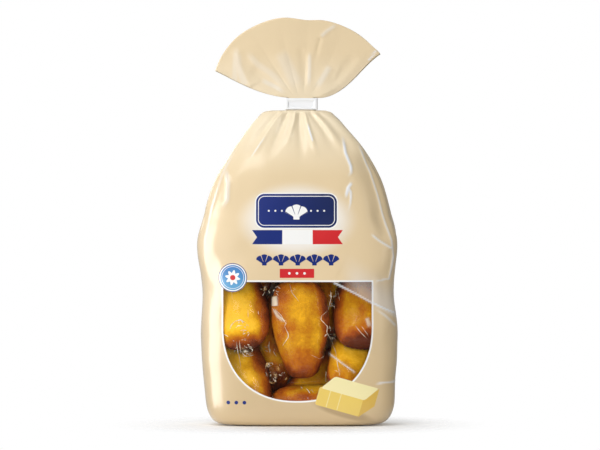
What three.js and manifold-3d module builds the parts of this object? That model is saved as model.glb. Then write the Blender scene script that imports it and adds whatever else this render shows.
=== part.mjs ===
// A printed film bag of wrapped madeleines, standing on its block bottom and shut with a white clip.
// Millimetres, +Z up, +X to the right of the printed front, which looks along -Y.
// The origin is on the surface that the bag stands on, in the middle of the room it takes up.
import * as THREE from "three";
import { mergeVertices } from "three/addons/utils/BufferGeometryUtils.js";
import Module from "manifold-3d";

const wasm = await Module();
wasm.setup();

// ---- Driving dimensions, in millimetres ----

// The filled bag, station by station from its base to its neck: its height, where its middle is, its half
// width and half depth, how square its section is (2 is an ellipse), how far the side gussets are tucked in,
// as a share of the width, and how deep the pleats are.
const stations = [
  { height: 0, middle: 1.6, halfWidth: 50, halfDepth: 21.5, square: 3.6, tuck: 0, pleat: 0 },
  { height: 1, middle: 1.8, halfWidth: 62.5, halfDepth: 28.6, square: 3.6, tuck: 0, pleat: 0 },
  { height: 2.8, middle: 1.8, halfWidth: 67.6, halfDepth: 31.6, square: 3.6, tuck: 0, pleat: 0 },
  { height: 6.8, middle: 1.8, halfWidth: 71.7, halfDepth: 34.6, square: 3.6, tuck: 0, pleat: 0 },
  { height: 16, middle: 1.8, halfWidth: 75, halfDepth: 37.2, square: 3.5, tuck: 0, pleat: 0 },
  { height: 40, middle: 1.2, halfWidth: 77, halfDepth: 39.4, square: 3.3, tuck: 0, pleat: 0 },
  { height: 72, middle: 1.2, halfWidth: 78.9, halfDepth: 40.6, square: 3.2, tuck: 0, pleat: 0 },
  { height: 104, middle: 0.2, halfWidth: 76.6, halfDepth: 41, square: 3.2, tuck: 0, pleat: 0 },
  { height: 145, middle: -0.6, halfWidth: 79.6, halfDepth: 40, square: 3.1, tuck: 0.04, pleat: 0 },
  { height: 170, middle: 0.2, halfWidth: 74.6, halfDepth: 36.5, square: 3, tuck: 0.1, pleat: 0.3 },
  { height: 195, middle: 0.2, halfWidth: 66.8, halfDepth: 31, square: 2.8, tuck: 0.18, pleat: 1 },
  { height: 218, middle: 0.6, halfWidth: 53.8, halfDepth: 24, square: 2.6, tuck: 0.24, pleat: 2 },
  { height: 236, middle: -0.4, halfWidth: 40, halfDepth: 16, square: 2.4, tuck: 0.24, pleat: 2.6 },
  { height: 246, middle: -0.8, halfWidth: 31, halfDepth: 10, square: 2.2, tuck: 0.16, pleat: 2.2 },
  { height: 250.4, middle: -0.8, halfWidth: 24.8, halfDepth: 6.4, square: 2.1, tuck: 0.06, pleat: 1.4 },
  { height: 251.2, middle: 0, halfWidth: 20.4, halfDepth: 5.2, square: 2, tuck: 0, pleat: 0.8 },
  { height: 251.45, middle: 2.5, halfWidth: 11.6, halfDepth: 3, square: 2, tuck: 0, pleat: 0 },
  { height: 261.4, middle: 2.5, halfWidth: 11.6, halfDepth: 3, square: 2, tuck: 0, pleat: 0 },
];
const rowsBetweenStations = [1, 1, 1, 1, 2, 2, 2, 3, 2, 2, 2, 2, 2, 1, 1, 1, 1];
const columnsRound = 96;

const gussetReach = 0.45; // how much of the depth a tucked side takes up, as a share
const pleating = { round: 17, ridge: 0.8, drift: 0.55, driftTurns: 3, driftStart: 1.1 }; // no two are alike

// Shallow dents where the cakes press and the film sags between them: how many round, how far apart upwards.
const dents = { depth: 0.5, round: 5, pitch: 46, from: 30, full: 60, fade: 150, to: 200 };

// The film above the clip, fanned out flat. Angles are from upright, in degrees, and left is negative.
const fan = {
  middle: { x: 2.5, height: 261.4 },
  // How far the top edge is from the clip, at these angles.
  reach: [
    { angle: -73, way: 72.2 },
    { angle: -50, way: 71 },
    { angle: -30, way: 68 },
    { angle: -14, way: 65.8 },
    { angle: 4, way: 62.2 },
    { angle: 16, way: 64.4 },
    { angle: 30, way: 66.4 },
    { angle: 46, way: 69 },
    { angle: 54, way: 70.4 },
    { angle: 61.5, way: 72.4 },
  ],
  // How much lower the film sets out at the clip than it ends, and how soon it has risen.
  droop: { left: { angle: -13, rise: 1.4 }, right: { angle: 36, rise: 2 } },
  halfThick: { clip: 3, low: 3.6, edge: 1.3 },
  // Pleats across the fan: their depth, how many, where they grow and fade, and what is left at the edge.
  pleat: { depth: 2.2, across: 5.7, from: 0.02, full: 0.25, fade: 0.35, left: 0.2 },
  wave: { depth: 1.6, across: 1.3, start: 0.1 }, // of the top edge, to and fro, in turns
  sweepBack: 2.5, // how far the two tips swing behind the middle
  square: 2.6,
  rows: 9,
};

// The clear window in the front: straight down to its shoulder, then a rounded bowl.
const pane = { middle: -0.4, halfWidth: 58.8, top: 114.8, shoulder: 80, bottom: 20.6, square: 2.25 };
const clearFilm = { thick: 0.6, inset: 0.25 };
const arcSteps = 28;
const gap = 0.3; // between pieces that touch

// The room behind the window. Behind it and above it the bag is packed full.
const room = { wall: 1.6, floor: 3, ceiling: 140, back: 28, halfWidth: 100, front: 60 };
const roomStations = { from: 2, to: 10 };

// One madeleine. Its smooth hump is its front (-Y), its ribbed shell its back, and its low end the narrower.
const cake = {
  length: 80,
  width: 46,
  square: 3.1,
  narrowing: { share: 0.28, from: -0.15, to: 0.8 }, // from the middle (0) to the low end (1)
  brim: 3.5, // how high its flat edge stands
  hump: 10, // above the brim
  humpSpread: 2.6, // the higher, the narrower
  shell: 14.5,
  ribs: 7,
  ribDepth: 1,
  columns: 32,
  rows: 10,
  crowding: 0.18, // how much closer the rings lie at the two ends
};

// Where each cake lies: its middle, then in degrees its lean to the right seen from the front, its lean
// backwards, and how far it is rolled about its own length.
const cakes = [
  { name: "madeleine_centre", x: 2.2, y: -24.2, z: 77.8, lean: -3, back: 0, roll: 0 },
  { name: "madeleine_upper_left", x: -47.3, y: -15.6, z: 98.3, lean: 171, back: -24, roll: 0 },
  { name: "madeleine_upper_right", x: 50.4, y: -8.2, z: 96.6, lean: 181, back: -33, roll: 0 },
  { name: "madeleine_lower_left", x: -45.4, y: -9.6, z: 39.3, lean: -26, back: 28, roll: 0 },
  { name: "madeleine_lower_right", x: 47.2, y: -5.5, z: 55, lean: 34, back: 46, roll: 0 },
  { name: "madeleine_bottom", x: 18.2, y: -11.5, z: 18.4, lean: 92, back: 0, roll: -90 },
  { name: "madeleine_behind", x: -16, y: 12, z: 66, lean: 12, back: 0, roll: 0 },
];

// The clip: a flat collar pressed round the gathered neck, with a shallow panel in its front and back.
const clip = {
  middle: 2.5,
  bottom: 251.8,
  height: 9.2,
  width: 26.6,
  depth: 9,
  corner: 1.6,
  wall: 1.1,
  panel: { width: 21, height: 5.4, depth: 0.35 },
};

// ---- Small tools ----

const { degToRad: toRadians, smoothstep: smooth, lerp, clamp } = THREE.MathUtils;
const fullTurn = 2 * Math.PI;

// A power that keeps its sign.
const signedPower = (value, power) => Math.sign(value) * Math.abs(value) ** power;

// A closed mesh from its points and triangles.
function meshOf(points, triangles) {
  const geometry = new THREE.BufferGeometry();
  geometry.setAttribute("position", new THREE.Float32BufferAttribute(points.flat(), 3));
  geometry.setIndex(triangles.flat());
  return geometry;
}

// A manifold-3d solid from any closed geometry.
function solidOf(geometry) {
  const bare = geometry.clone();
  bare.deleteAttribute("normal");
  bare.deleteAttribute("uv");
  const merged = mergeVertices(bare);
  return new wasm.Manifold(
    new wasm.Mesh({
      numProp: 3,
      vertProperties: new Float32Array(merged.attributes.position.array),
      triVerts: new Uint32Array(merged.index.array),
    }),
  );
}

// And back to a geometry with shaded faces.
function geometryOf(solid) {
  const mesh = solid.getMesh();
  const geometry = new THREE.BufferGeometry();
  geometry.setAttribute("position", new THREE.BufferAttribute(mesh.vertProperties, 3));
  geometry.setIndex(new THREE.BufferAttribute(mesh.triVerts, 1));
  geometry.computeVertexNormals();
  return geometry;
}

// Triangles between rings of points, each ring anticlockwise seen from its top end.
function tubeTriangles(rings, columns) {
  const triangles = [];
  for (let row = 0; row < rings - 1; row++)
    for (let column = 0; column < columns; column++) {
      const next = (column + 1) % columns;
      const low = row * columns;
      const high = low + columns;
      triangles.push([low + column, low + next, high + next], [low + column, high + next, high + column]);
    }
  return triangles;
}

// A tube of rings shut by a pole at each end.
function shutTube(points, columns, lowPole, highPole) {
  const rings = points.length / columns;
  const triangles = tubeTriangles(rings, columns);
  const top = (rings - 1) * columns;
  const low = points.push(lowPole) - 1;
  const high = points.push(highPole) - 1;
  for (let column = 0; column < columns; column++) {
    const next = (column + 1) % columns;
    triangles.push([low, next, column], [high, top + column, top + next]);
  }
  return solidOf(meshOf(points, triangles));
}

function boxSolid(low, high) {
  const size = high.map((value, axis) => value - low[axis]);
  const middle = high.map((value, axis) => (value + low[axis]) / 2);
  return solidOf(new THREE.BoxGeometry(...size).translate(...middle));
}

// A curve through a row of values, at a place counted in values, that never swings past a high or a low one.
function curve(values, place) {
  const last = values.length - 1;
  const at = (index) => values[clamp(index, 0, last)];
  const slope = (index) => {
    const before = at(index) - at(index - 1);
    const after = at(index + 1) - at(index);
    return before * after <= 0 ? 0 : (2 * before * after) / (before + after);
  };
  const first = clamp(Math.floor(place), 0, last - 1);
  const t = place - first;
  const rest = 1 - t;
  const rise = t * t * (3 - 2 * t);
  const start = slope(first) * t * rest * rest;
  const end = slope(first + 1) * t * t * rest;
  return lerp(at(first), at(first + 1), rise) + start - end;
}

const along = (field, place) => curve(stations.map((station) => station[field]), place);

// ---- The film ----

// A point of the unit section: a superellipse whose two sides are tucked in.
function sectionPoint(angle, square, tuck) {
  const across = signedPower(Math.cos(angle), 2 / square);
  const deep = signedPower(Math.sin(angle), 2 / square);
  return [across * (1 - tuck * Math.exp(-((deep / gussetReach) ** 2))), deep];
}

// How wide a tucked section comes out, so that a station's half width stays true.
function sectionReach(square, tuck) {
  const quarterSteps = 90;
  const widths = Array.from({ length: quarterSteps + 1 }, (_, step) =>
    sectionPoint(((step / quarterSteps) * Math.PI) / 2, square, tuck)[0],
  );
  return Math.max(...widths);
}

// The way round the bag where it is fullest, as shares of the whole, at evenly stepped angles.
const waysRound = (() => {
  const { halfWidth, halfDepth, square } = stations.find((station) => station.height === 72);
  const steps = 1440;
  const ways = [0];
  let last = [halfWidth, 0];
  for (let step = 1; step <= steps; step++) {
    const [across, deep] = sectionPoint((step / steps) * fullTurn, square, 0);
    const next = [across * halfWidth, deep * halfDepth];
    ways.push(ways[step - 1] + Math.hypot(next[0] - last[0], next[1] - last[1]));
    last = next;
  }
  return ways.map((way) => way / ways[steps]);
})();

// The angle at a share of the way round the film, which starts at the right side and runs by the back.
function filmAngle(share) {
  const high = Math.max(1, waysRound.findIndex((way) => way >= share));
  const part = (share - waysRound[high - 1]) / (waysRound[high] - waysRound[high - 1]);
  return ((high - 1 + part) / (waysRound.length - 1)) * fullTurn;
}

// Ridges and valleys of the gathered film, from -1 to 1.
function pleats(share) {
  const drift = pleating.drift * Math.sin(fullTurn * pleating.driftTurns * share + pleating.driftStart);
  return 1 - 2 * Math.abs(Math.sin(Math.PI * pleating.round * share + drift)) ** pleating.ridge;
}

// A point of the bag below its clip. share goes round the film, place goes up the stations, inset inwards.
function bagPoint(share, place, inset = 0) {
  const height = along("height", place);
  const square = along("square", place);
  const tuck = along("tuck", place);
  const halfWidth = (along("halfWidth", place) - inset) / sectionReach(square, tuck);
  const halfDepth = along("halfDepth", place) - inset;
  const [across, deep] = sectionPoint(filmAngle(share), square, tuck);
  const x = across * halfWidth;
  const y = deep * halfDepth;
  const outwards = new THREE.Vector2(x / halfWidth ** 2, y / halfDepth ** 2).normalize();
  const pressed = smooth(height, dents.from, dents.full) * (1 - smooth(height, dents.fade, dents.to));
  const dent = Math.sin(fullTurn * dents.round * share) * Math.cos((fullTurn * height) / dents.pitch);
  const out = along("pleat", place) * pleats(share) - dents.depth * pressed * dent;
  return [x + outwards.x * out + along("middle", place), y + outwards.y * out, height];
}

// How far the fan's top edge is from the clip at an angle.
function fanReach(angle) {
  const high = Math.max(1, fan.reach.findIndex((mark) => mark.angle >= angle));
  const low = fan.reach[high - 1].angle;
  const place = high - 1 + (angle - low) / (fan.reach[high].angle - low);
  return curve(fan.reach.map((mark) => mark.way), place);
}

// A point of the fan. share goes round the film, way goes from the clip (0) to the top edge (1).
function fanPoint(share, way) {
  const [across, deep] = sectionPoint(filmAngle(share), fan.square, 0);
  const side = (across + 1) / 2;
  const [left, right] = [fan.reach[0].angle, fan.reach.at(-1).angle];
  const edgeAngle = clamp(lerp(left, right, side), left, right);
  const [tip, droop] = across < 0 ? [left, fan.droop.left] : [right, fan.droop.right];
  const angle = toRadians(edgeAngle + droop.angle * (edgeAngle / tip) ** 2 * (1 - way) ** droop.rise);
  const reach = fanReach(edgeAngle) * way;
  const x = fan.middle.x + across * stations.at(-1).halfWidth * (1 - way) + reach * Math.sin(angle);
  const z = fan.middle.height + reach * Math.cos(angle);
  const { depth, from, full, fade, left: still } = fan.pleat;
  const gathered = smooth(way, from, full) * (1 - (1 - still) * smooth(way, fade, 1));
  const fold = depth * pleats(0.5 + (side * fan.pleat.across) / pleating.round) * gathered;
  const wave = fan.wave.depth * Math.sin(fullTurn * (fan.wave.across * side + fan.wave.start)) * way ** 2;
  const low = lerp(fan.halfThick.clip, fan.halfThick.low, smooth(way, 0, full));
  const y = deep * lerp(low, fan.halfThick.edge, way) + fold + wave + fan.sweepBack * way * across ** 2;
  return [x, y, z];
}

// The places of the rings from one station to another.
function placesOf(from, to) {
  const places = rowsBetweenStations.flatMap((rows, station) =>
    Array.from({ length: rows }, (_, row) => station + row / rows),
  );
  return [...places, stations.length - 1].filter((place) => place >= from && place <= to);
}

// The whole closed outside of the bag: base, body, neck and fan, one solid.
function bagSolid() {
  const points = [];
  const ring = (pointAt) => {
    for (let column = 0; column < columnsRound; column++) points.push(pointAt(column / columnsRound));
  };
  ring((share) => bagPoint(share, 0).map((value) => value / 2));
  placesOf(0, stations.length - 1).forEach((place) => ring((share) => bagPoint(share, place)));
  for (let row = 1; row <= fan.rows; row++) ring((share) => fanPoint(share, row / fan.rows));
  const rings = points.length / columnsRound;
  const triangles = tubeTriangles(rings, columnsRound);
  const pole = points.push([0, 0, 0]) - 1;
  for (let column = 0; column < columnsRound; column++)
    triangles.push([pole, (column + 1) % columnsRound, column]);
  // The top edge is shut by joining each column at the back to the one in front of it.
  const top = (rings - 1) * columnsRound;
  for (let column = 0; column < columnsRound / 2; column++) {
    const back = top + column;
    const front = top + ((columnsRound - column) % columnsRound);
    const frontNext = top + columnsRound - column - 1;
    if (column > 0) triangles.push([back, frontNext, front]);
    if (column < columnsRound / 2 - 1) triangles.push([back, back + 1, frontNext]);
  }
  return solidOf(meshOf(points, triangles));
}

// The bag's body round its room, shrunk by an inset. Every so many rings and columns are kept.
function bodySolid(inset, every) {
  const columns = columnsRound / every;
  const places = placesOf(roomStations.from, roomStations.to).filter((_, index) => index % every === 0);
  const points = places.flatMap((place) =>
    Array.from({ length: columns }, (_, column) => bagPoint(column / columns, place, inset)),
  );
  const [low, high] = [points[0][2], points.at(-1)[2]];
  return shutTube(points, columns, [0, 0, low], [0, 0, high]);
}

// The window's outline, drawn in by an inset and pushed through the front of the bag.
function paneSolid(inset) {
  const outline = new THREE.Shape();
  const half = pane.halfWidth - inset;
  const drop = pane.shoulder - pane.bottom - inset;
  outline.moveTo(pane.middle + half, pane.top - inset);
  outline.lineTo(pane.middle - half, pane.top - inset);
  for (let step = 0; step <= arcSteps; step++) {
    const angle = Math.PI * (1 + step / arcSteps);
    const across = signedPower(Math.cos(angle), 2 / pane.square);
    const down = Math.abs(Math.sin(angle)) ** (2 / pane.square);
    outline.lineTo(pane.middle + half * across, pane.shoulder - drop * down);
  }
  const prism = new THREE.ExtrudeGeometry(outline, { depth: room.front, bevelEnabled: false });
  return solidOf(prism.rotateX(Math.PI / 2));
}

// The bag with its room and its window cut out.
function bagWithRoom() {
  const low = [-room.halfWidth, -room.front, room.floor];
  const high = [room.halfWidth, room.back, room.ceiling];
  const inside = bodySolid(room.wall, 2).intersect(boxSolid(low, high));
  return bagSolid().subtract(inside).subtract(paneSolid(0));
}

// The clear film that shuts the window, a thin curved skin just behind the printed face.
function windowFilm() {
  const outer = bodySolid(clearFilm.inset, 1);
  const inner = bodySolid(clearFilm.inset + clearFilm.thick, 1);
  return outer.subtract(inner).intersect(paneSolid(gap));
}

// ---- The cakes and the clip ----

// One madeleine in its own frame: length along Z, hump towards -Y, ribbed shell towards +Y.
function madeleineSolid() {
  const points = [];
  for (let row = 1; row < cake.rows; row++) {
    const turn = (Math.PI * row) / cake.rows;
    const up = -Math.cos(turn - cake.crowding * Math.sin(2 * turn));
    const full = (1 - Math.abs(up) ** cake.square) ** (1 / cake.square);
    const { share, from, to } = cake.narrowing;
    const half = (cake.width / 2) * full * (1 - share * smooth(-up, from, to));
    for (let column = 0; column < cake.columns; column++) {
      const angle = (fullTurn * column) / cake.columns;
      const across = Math.cos(angle);
      const round = Math.abs(Math.sin(angle)) ** 0.8;
      const crown = cake.hump * Math.exp(-cake.humpSpread * across ** 2) * full ** 0.6;
      const rib = cake.ribDepth * Math.cos(cake.ribs * Math.PI * across) * full;
      const shell = (cake.shell * full - cake.ribDepth) * round ** 0.1 + rib;
      const y = Math.sin(angle) < 0 ? -(cake.brim + crown) * full : shell;
      points.push([half * across, y * round, (up * cake.length) / 2]);
    }
  }
  return shutTube(points, cake.columns, [0, 0, -cake.length / 2], [0, 0, cake.length / 2]);
}

// A rectangle with round corners, about the middle.
function roundedRectangle(width, depth, corner) {
  const [x, y] = [width / 2 - corner, depth / 2 - corner];
  const shape = new THREE.Shape();
  shape.moveTo(x + corner, -y);
  shape.absarc(x, y, corner, 0, Math.PI / 2);
  shape.absarc(-x, y, corner, Math.PI / 2, Math.PI);
  shape.absarc(-x, -y, corner, Math.PI, Math.PI * 1.5);
  shape.absarc(x, -y, corner, Math.PI * 1.5, fullTurn);
  return shape;
}

// The clip: a collar with a hole for the neck and a shallow panel pressed into its front and its back.
function clipSolid() {
  const outline = roundedRectangle(clip.width, clip.depth, clip.corner);
  const collar = new THREE.ExtrudeGeometry(outline, {
    depth: clip.height,
    bevelEnabled: false,
    curveSegments: 4,
  });
  const hole = new THREE.Shape();
  hole.absellipse(0, 0, clip.width / 2 - clip.wall, clip.depth / 2 - clip.wall, 0, fullTurn);
  const bore = new THREE.ExtrudeGeometry(hole, {
    depth: clip.height + 2,
    bevelEnabled: false,
    curveSegments: 20,
  });
  const { width, height, depth } = clip.panel;
  const [low, high] = [(clip.height - height) / 2, (clip.height + height) / 2];
  const panels = [-1, 1].map((side) => {
    const face = (side * clip.depth) / 2;
    return boxSolid([-width / 2, face - depth, low], [width / 2, face + depth, high]);
  });
  const ring = solidOf(collar).subtract(solidOf(bore.translate(0, 0, -1)));
  return panels.reduce((solid, panel) => solid.subtract(panel), ring);
}

// ---- The whole ----

const finishes = {
  film: new THREE.MeshStandardMaterial({ color: "#e6cfa4", roughness: 0.32, metalness: 0 }),
  clear: new THREE.MeshStandardMaterial({ color: "#fbf7ee", roughness: 0.08, metalness: 0 }),
  sponge: new THREE.MeshStandardMaterial({ color: "#c98a24", roughness: 0.6, metalness: 0 }),
  clip: new THREE.MeshStandardMaterial({ color: "#eeeeec", roughness: 0.4, metalness: 0 }),
};
finishes.clear.transparent = true;
finishes.clear.opacity = 0.2;

const whole = new THREE.Group();

function add(name, geometry, material) {
  const mesh = new THREE.Mesh(geometry, material);
  mesh.name = name;
  whole.add(mesh);
  return mesh;
}

add("bag", geometryOf(bagWithRoom()), finishes.film);
add("window_film", geometryOf(windowFilm()), finishes.clear);
add("clip", geometryOf(clipSolid()), finishes.clip).position.set(clip.middle, 0, clip.bottom);

const madeleine = geometryOf(madeleineSolid());
cakes.forEach(({ name, x, y, z, lean, back, roll }) => {
  const mesh = add(name, madeleine, finishes.sponge);
  mesh.position.set(x, y, z);
  mesh.rotation.set(toRadians(-back), toRadians(lean), toRadians(roll), "YXZ");
});

export default whole;
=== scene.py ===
import bpy
import numpy as np
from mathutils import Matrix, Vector


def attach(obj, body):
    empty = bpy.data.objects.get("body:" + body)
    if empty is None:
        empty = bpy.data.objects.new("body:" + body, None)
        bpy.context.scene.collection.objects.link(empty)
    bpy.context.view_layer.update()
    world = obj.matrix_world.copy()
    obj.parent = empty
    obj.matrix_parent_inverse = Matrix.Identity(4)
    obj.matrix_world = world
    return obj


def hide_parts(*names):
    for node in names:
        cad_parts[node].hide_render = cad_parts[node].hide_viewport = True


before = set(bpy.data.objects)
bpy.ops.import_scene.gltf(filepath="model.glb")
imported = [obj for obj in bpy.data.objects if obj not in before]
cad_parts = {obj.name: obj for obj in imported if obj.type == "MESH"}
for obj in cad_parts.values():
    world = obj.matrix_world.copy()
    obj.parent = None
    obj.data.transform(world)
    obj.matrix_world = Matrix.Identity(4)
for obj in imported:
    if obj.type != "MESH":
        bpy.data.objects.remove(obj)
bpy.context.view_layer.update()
print("frame loaded:", len(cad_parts), "nodes")

# Everything below is worked out in millimetres and scaled to metres when a mesh is made.
# +X is to the right of the printed front, -Y is the front, +Z is up.
millimetre = 0.001
fullTurn = 2 * np.pi


# 3t^2 - 2t^3 between low and high
def smooth(value, low, high):
    t = np.clip((value - low) / (high - low), 0, 1)
    return t * t * (3 - 2 * t)


# smooth rise between low and full, smooth fall between fade and high
def hill(value, low, full, fade, high):
    return smooth(value, low, full) * (1 - smooth(value, fade, high))


# |value|^power with the value's sign
def signedPower(value, power):
    return np.sign(value) * np.abs(value) ** power


# cubic through evenly numbered values, with harmonic slopes, so that it never swings past a high or a low
def curveThrough(values, place):
    values = np.asarray(values, float)
    step = np.diff(values)
    product = step[1:] * step[:-1]
    total = np.where(product > 0, step[1:] + step[:-1], 1)
    slope = np.concatenate([[0], np.where(product > 0, 2 * product / total, 0), [0]])
    first = np.clip(np.floor(place), 0, len(values) - 2).astype(int)
    t = place - first
    rest = 1 - t
    rise = t * t * (3 - 2 * t)
    mixed = values[first] * (1 - rise) + values[first + 1] * rise
    return mixed + slope[first] * t * rest * rest - slope[first + 1] * t * t * rest


# a number from -1 to 1 for each corner of a lattice, the same in every run
def latticeValue(corner, seed):
    mixed = corner[..., 0] * 374761393 + corner[..., 1] * 668265263 + corner[..., 2] * 1442695041 + seed * 97531
    mixed = (mixed ^ (mixed >> 13)) * 1274126177 & 0xFFFFFFFF
    return ((mixed ^ (mixed >> 16)) & 0xFFFF) / 32767.5 - 1


# value noise: lattice numbers blended over a cell by 3t^2 - 2t^3 along each axis
def noiseAt(points, cell, seed):
    scaled = np.asarray(points, float) / cell
    base = np.floor(scaled).astype(np.int64)
    t = scaled - base
    t = t * t * (3 - 2 * t)
    total = np.zeros(points.shape[:-1])
    for corner in np.ndindex(2, 2, 2):
        weight = np.prod(np.where(np.array(corner) == 1, t, 1 - t), axis=-1)
        total += weight * latticeValue(base + np.array(corner), seed)
    return total


# length of the way to each point of a line, from the coordinates of its points
def wayAlong(*coordinates):
    return np.concatenate([[0], np.cumsum(np.hypot(*np.diff(coordinates)))])


# evenly spaced angles all round, as a row
def anglesRound(count):
    return (fullTurn * np.arange(count) / count)[None, :]


# how far (x, z) is from a line of marks, on which side of it, and how far along it from 0 to 1
def fromLine(x, z, marks):
    marks = np.asarray(marks, float)
    starts = wayAlong(*marks.T)
    lengths = np.hypot(*np.diff(marks, axis=0).T)
    nearest = np.full(x.shape, 1e9)
    side = np.zeros(x.shape)
    along = np.zeros(x.shape)
    for index, length in enumerate(lengths):
        (x0, z0), (x1, z1) = marks[index], marks[index + 1]
        ux, uz = (x1 - x0) / length, (z1 - z0) / length
        share = np.clip(((x - x0) * ux + (z - z0) * uz) / length, 0, 1)
        gap = np.hypot(x - x0 - share * length * ux, z - z0 - share * length * uz)
        closer = gap < nearest
        nearest = np.where(closer, gap, nearest)
        side = np.where(closer, np.sign((x - x0) * uz - (z - z0) * ux), side)
        along = np.where(closer, (starts[index] + share * length) / starts[-1], along)
    return nearest, side, along


usualEnds = (0.2, 0.35)  # shares of a crease's length over which it fades in and out
crestRadius = 0.4

# Sum over creases of height * exp(-(distance / width)^2), or of height * exp(-distance / width) where it is
# sharp, fading at both ends. A pair of widths is at the first mark and at the last. A tilt adds
# slope * side * distance * exp(-(distance / reach)^2). How pale the film is comes in the same way:
# the largest share * exp(-(distance / width)^4). That paleness is partly the film's own whitening where it is
# stretched or lies in two layers, and partly a painted highlight along crests and folds
def creaseRelief(x, z, creases):
    relief, pale = np.zeros(x.shape), np.zeros(x.shape)
    for crease in creases:
        distance, side, along = fromLine(x, z, crease["marks"])
        start, end = crease.get("ends", usualEnds)
        fade = hill(along, 0, start, 1 - end, 1)
        if "height" in crease:
            width = np.interp(along, (0, 1), np.broadcast_to(crease["width"], 2))
            relief += crease["height"] * np.exp(-((distance / width) ** 2)) * fade
        if "sharp" in crease:
            height, width = crease["sharp"]
            relief += height * np.exp(-np.hypot(distance, crestRadius) / width) * fade
        if "tilt" in crease:
            slope, reach = crease["tilt"]
            relief += slope * side * distance * np.exp(-((distance / reach) ** 2)) * fade
        if "pale" in crease:
            share, width = crease["pale"]
            pale = np.maximum(pale, share * np.exp(-((distance / width) ** 4)) * fade)
    return relief, pale


# A mesh object from points (rows, columns, 3) in millimetres. Columns run round and close, and a pole shuts
# an end. An attribute has a number for each point, and then for the poles
def gridObject(name, points, material=None, lowPole=None, highPole=None, closeRows=False, attribute=None):
    rows, columns = points.shape[:2]
    index = np.arange(rows * columns).reshape(rows, columns)
    low = index if closeRows else index[:-1]
    high = np.roll(index, -1, 0) if closeRows else index[1:]
    faces = np.stack([low, np.roll(low, -1, 1), np.roll(high, -1, 1), high], -1).reshape(-1, 4).tolist()
    vertices = [points.reshape(-1, 3)]
    for pole, ring, turned in ((lowPole, index[0], True), (highPole, index[-1], False)):
        if pole is not None:
            here = sum(len(block) for block in vertices)
            vertices.append(np.array([pole], float))
            pair = (np.roll(ring, -1), ring) if turned else (ring, np.roll(ring, -1))
            faces += np.stack([np.full(columns, here), *pair], -1).tolist()
    mesh = bpy.data.meshes.new(name)
    mesh.from_pydata((np.concatenate(vertices) * millimetre).tolist(), [], faces)
    mesh.shade_smooth()
    if material:
        mesh.materials.append(material)
    if attribute:
        key, values = attribute
        mesh.attributes.new(key, "FLOAT", "POINT").data.foreach_set("value", np.asarray(values, np.float32))
    piece = bpy.data.objects.new(name, mesh)
    bpy.context.scene.collection.objects.link(piece)
    return piece


# sRGB 0 to 255 as linear light
def linear(red, green, blue):
    share = np.array([red, green, blue]) / 255
    return tuple(np.where(share <= 0.04045, share / 12.92, ((share + 0.055) / 1.055) ** 2.4)) + (1.0,)


# A number that flows between nodes. Its operators add Math nodes.
class Flow:
    def __init__(self, paint, socket):
        self.paint, self.socket = paint, socket

    def __add__(self, other): return self.paint.maths("ADD", self, other)
    def __radd__(self, other): return self.paint.maths("ADD", other, self)
    def __sub__(self, other): return self.paint.maths("SUBTRACT", self, other)
    def __rsub__(self, other): return self.paint.maths("SUBTRACT", other, self)
    def __mul__(self, other): return self.paint.maths("MULTIPLY", self, other)
    def __rmul__(self, other): return self.paint.maths("MULTIPLY", other, self)
    def __truediv__(self, other): return self.paint.maths("DIVIDE", self, other)
    def __pow__(self, other): return self.paint.maths("POWER", self, other)
    def __abs__(self): return self.paint.maths("ABSOLUTE", self)


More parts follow.
